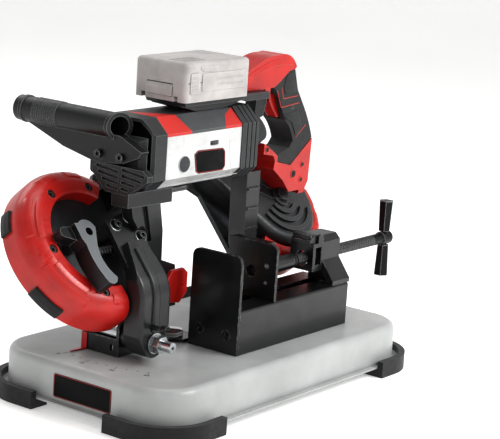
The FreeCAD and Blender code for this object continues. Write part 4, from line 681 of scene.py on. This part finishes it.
def gear_case_ridges():
    """Two swept ridges across the gear case, dropped onto its skin."""
    skin = Skin("gear_cover")
    length, steps = 66, 24
    bm = bmesh.new()
    for start_v in (34.0, 17.0):
        path = []
        for k in range(steps + 1):
            t = k / steps
            sag = 30 * t * t * (3 - 2 * t) - 20 * max(0.0, t - 0.55) ** 2
            path.append(skin.drop(loop(100 + length * t, start_v - sag, 70)))
        bead(bm, path, 1.3, 10)
    finish_piece("gear_case_ridges", bm, "head", "dark_plastic")


def arm_washers():
    """Washers under the heads of the arm's screws."""
    bm = bmesh.new()
    for u, v in ARM_SCREWS:
        rim = round_outline(u, v, 7.2, 36)
        tube(bm, [(a, b, 0.3) for a, b in rim + rim[:1]], 0.8, on_loop(ARM_FACE))
    finish_piece("arm_washers", bm, "head", "zinc_steel")


guard_panels()
tray_badge()
motor_details()
mitre_ticks()
for label in ("0", "15", "30", "45"):
    mitre_number(label)
for side, corner, outward in SIDES:
    grip_details(side, on_side(box("handle_grip")[corner].y, outward))
    handle_details(side, on_side(box("handle_base")[corner].y, outward))
battery_details()
gear_case_ridges()
arm_washers()


# ------------------------------------------------------------------ stage, light and camera

WHITE = (1, 1, 1, 1)
FLOOR_GAP = 0.0004                      # keeps the paper clear of the feet, in metres
VIEW_TURN, VIEW_RISE, VIEW_ROLL = (math.radians(a) for a in (-53.79, 12.15, 3.92))
VIEW_POINT = (-350.5, -303.1, 293.9)    # a point on the line of sight, in mm from the tray's centre
VIEW_DISTANCE = 1.692
LENS = 132.588                          # in mm, on a 36 mm sensor


def light(name, place, target, size, power):
    lamp = bpy.data.lights.new(name, "AREA")
    lamp.shape = "RECTANGLE"
    lamp.size, lamp.size_y = size
    lamp.energy = power
    holder = bpy.data.objects.new(name, lamp)
    holder.location = place
    holder.rotation_mode = "QUATERNION"
    holder.rotation_quaternion = (Vector(target) - Vector(place)).to_track_quat("-Z", "Y")
    link(holder)


def backdrop():
    """White paper that is flat under the saw and curls up far away from it."""
    reach, flat, rise, steps = 6.0, 3.6, 3.0, 12
    bm = bmesh.new()
    rows = []
    for i in range(-steps, steps + 1):
        row = []
        for j in range(-steps, steps + 1):
            x, y = reach * i / steps, reach * j / steps
            away = max(0.0, math.hypot(x, y) - flat)
            row.append(bm.verts.new((x, y, min(rise, away * away / 2) - FLOOR_GAP)))
        rows.append(row)
    for a, b in zip(rows, rows[1:]):
        for k in range(len(a) - 1):
            bm.faces.new((a[k], b[k], b[k + 1], a[k + 1]))
    mesh = bpy.data.meshes.new("floor")
    bm.to_mesh(mesh)
    bm.free()
    floor = bpy.data.objects.new("floor", mesh)
    link(floor)
    f = Finish("floor_paper", specular=0.2)
    tone = f.mix(f.noise(3, 3), rgb("F4F4F3"), rgb("F8F8F7"))
    f.surface(tone, f.ramp(f.noise(5, 2), 0, 1, 0.8, 0.9), [])
    f.shader.inputs["Emission Color"].default_value = WHITE
    f.shader.inputs["Emission Strength"].default_value = 0.34
    mesh.materials.append(f.mat)
    for face in mesh.polygons:
        face.use_smooth = True


def studio():
    """A pale sky, four soft lamps and a brightened picture, as in the photograph."""
    scene = bpy.context.scene
    scene.world = bpy.data.worlds.new("soft_sky")
    scene.world.use_nodes = True
    sky = scene.world.node_tree.nodes["Background"]
    sky.inputs["Color"].default_value = WHITE
    sky.inputs["Strength"].default_value = 0.42
    scene.view_settings.view_transform = "Standard"
    scene.view_settings.gamma = 0.88
    light("key_light", (0.7, -1.7, 1.5), (0, 0, 0.15), (1.1, 0.9), 42)
    light("side_light", (-1.9, -0.9, 1.3), (0, 0, 0.15), (0.5, 1.2), 2)
    light("back_light", (0.4, 1.9, 1.7), (0, 0, 0.2), (1.6, 0.8), 12)
    light("top_light", (0.1, 0.1, 2.2), (0, 0, 0.2), (1.2, 1.2), 11)


def camera():
    """The photograph's view, turned to the left, from above and slightly rolled."""
    level = math.cos(VIEW_RISE)
    back = Vector((math.sin(VIEW_TURN) * level, -math.cos(VIEW_TURN) * level, math.sin(VIEW_RISE)))
    right = Vector((math.cos(VIEW_TURN), math.sin(VIEW_TURN), 0))
    up = back.cross(right)
    tilted = math.cos(VIEW_ROLL) * right + math.sin(VIEW_ROLL) * up
    upright = -math.sin(VIEW_ROLL) * right + math.cos(VIEW_ROLL) * up
    data = bpy.data.cameras.new("camera")
    data.sensor_width = 36
    data.lens = LENS
    data.clip_start, data.clip_end = 0.05, 30
    holder = bpy.data.objects.new("camera", data)
    place = spot(*VIEW_POINT) + back * VIEW_DISTANCE
    holder.matrix_world = Matrix((
        (tilted.x, upright.x, back.x, place.x),
        (tilted.y, upright.y, back.y, place.y),
        (tilted.z, upright.z, back.z, place.z),
        (0, 0, 0, 1)))
    link(holder)
    bpy.context.scene.camera = holder


backdrop()
studio()
camera()
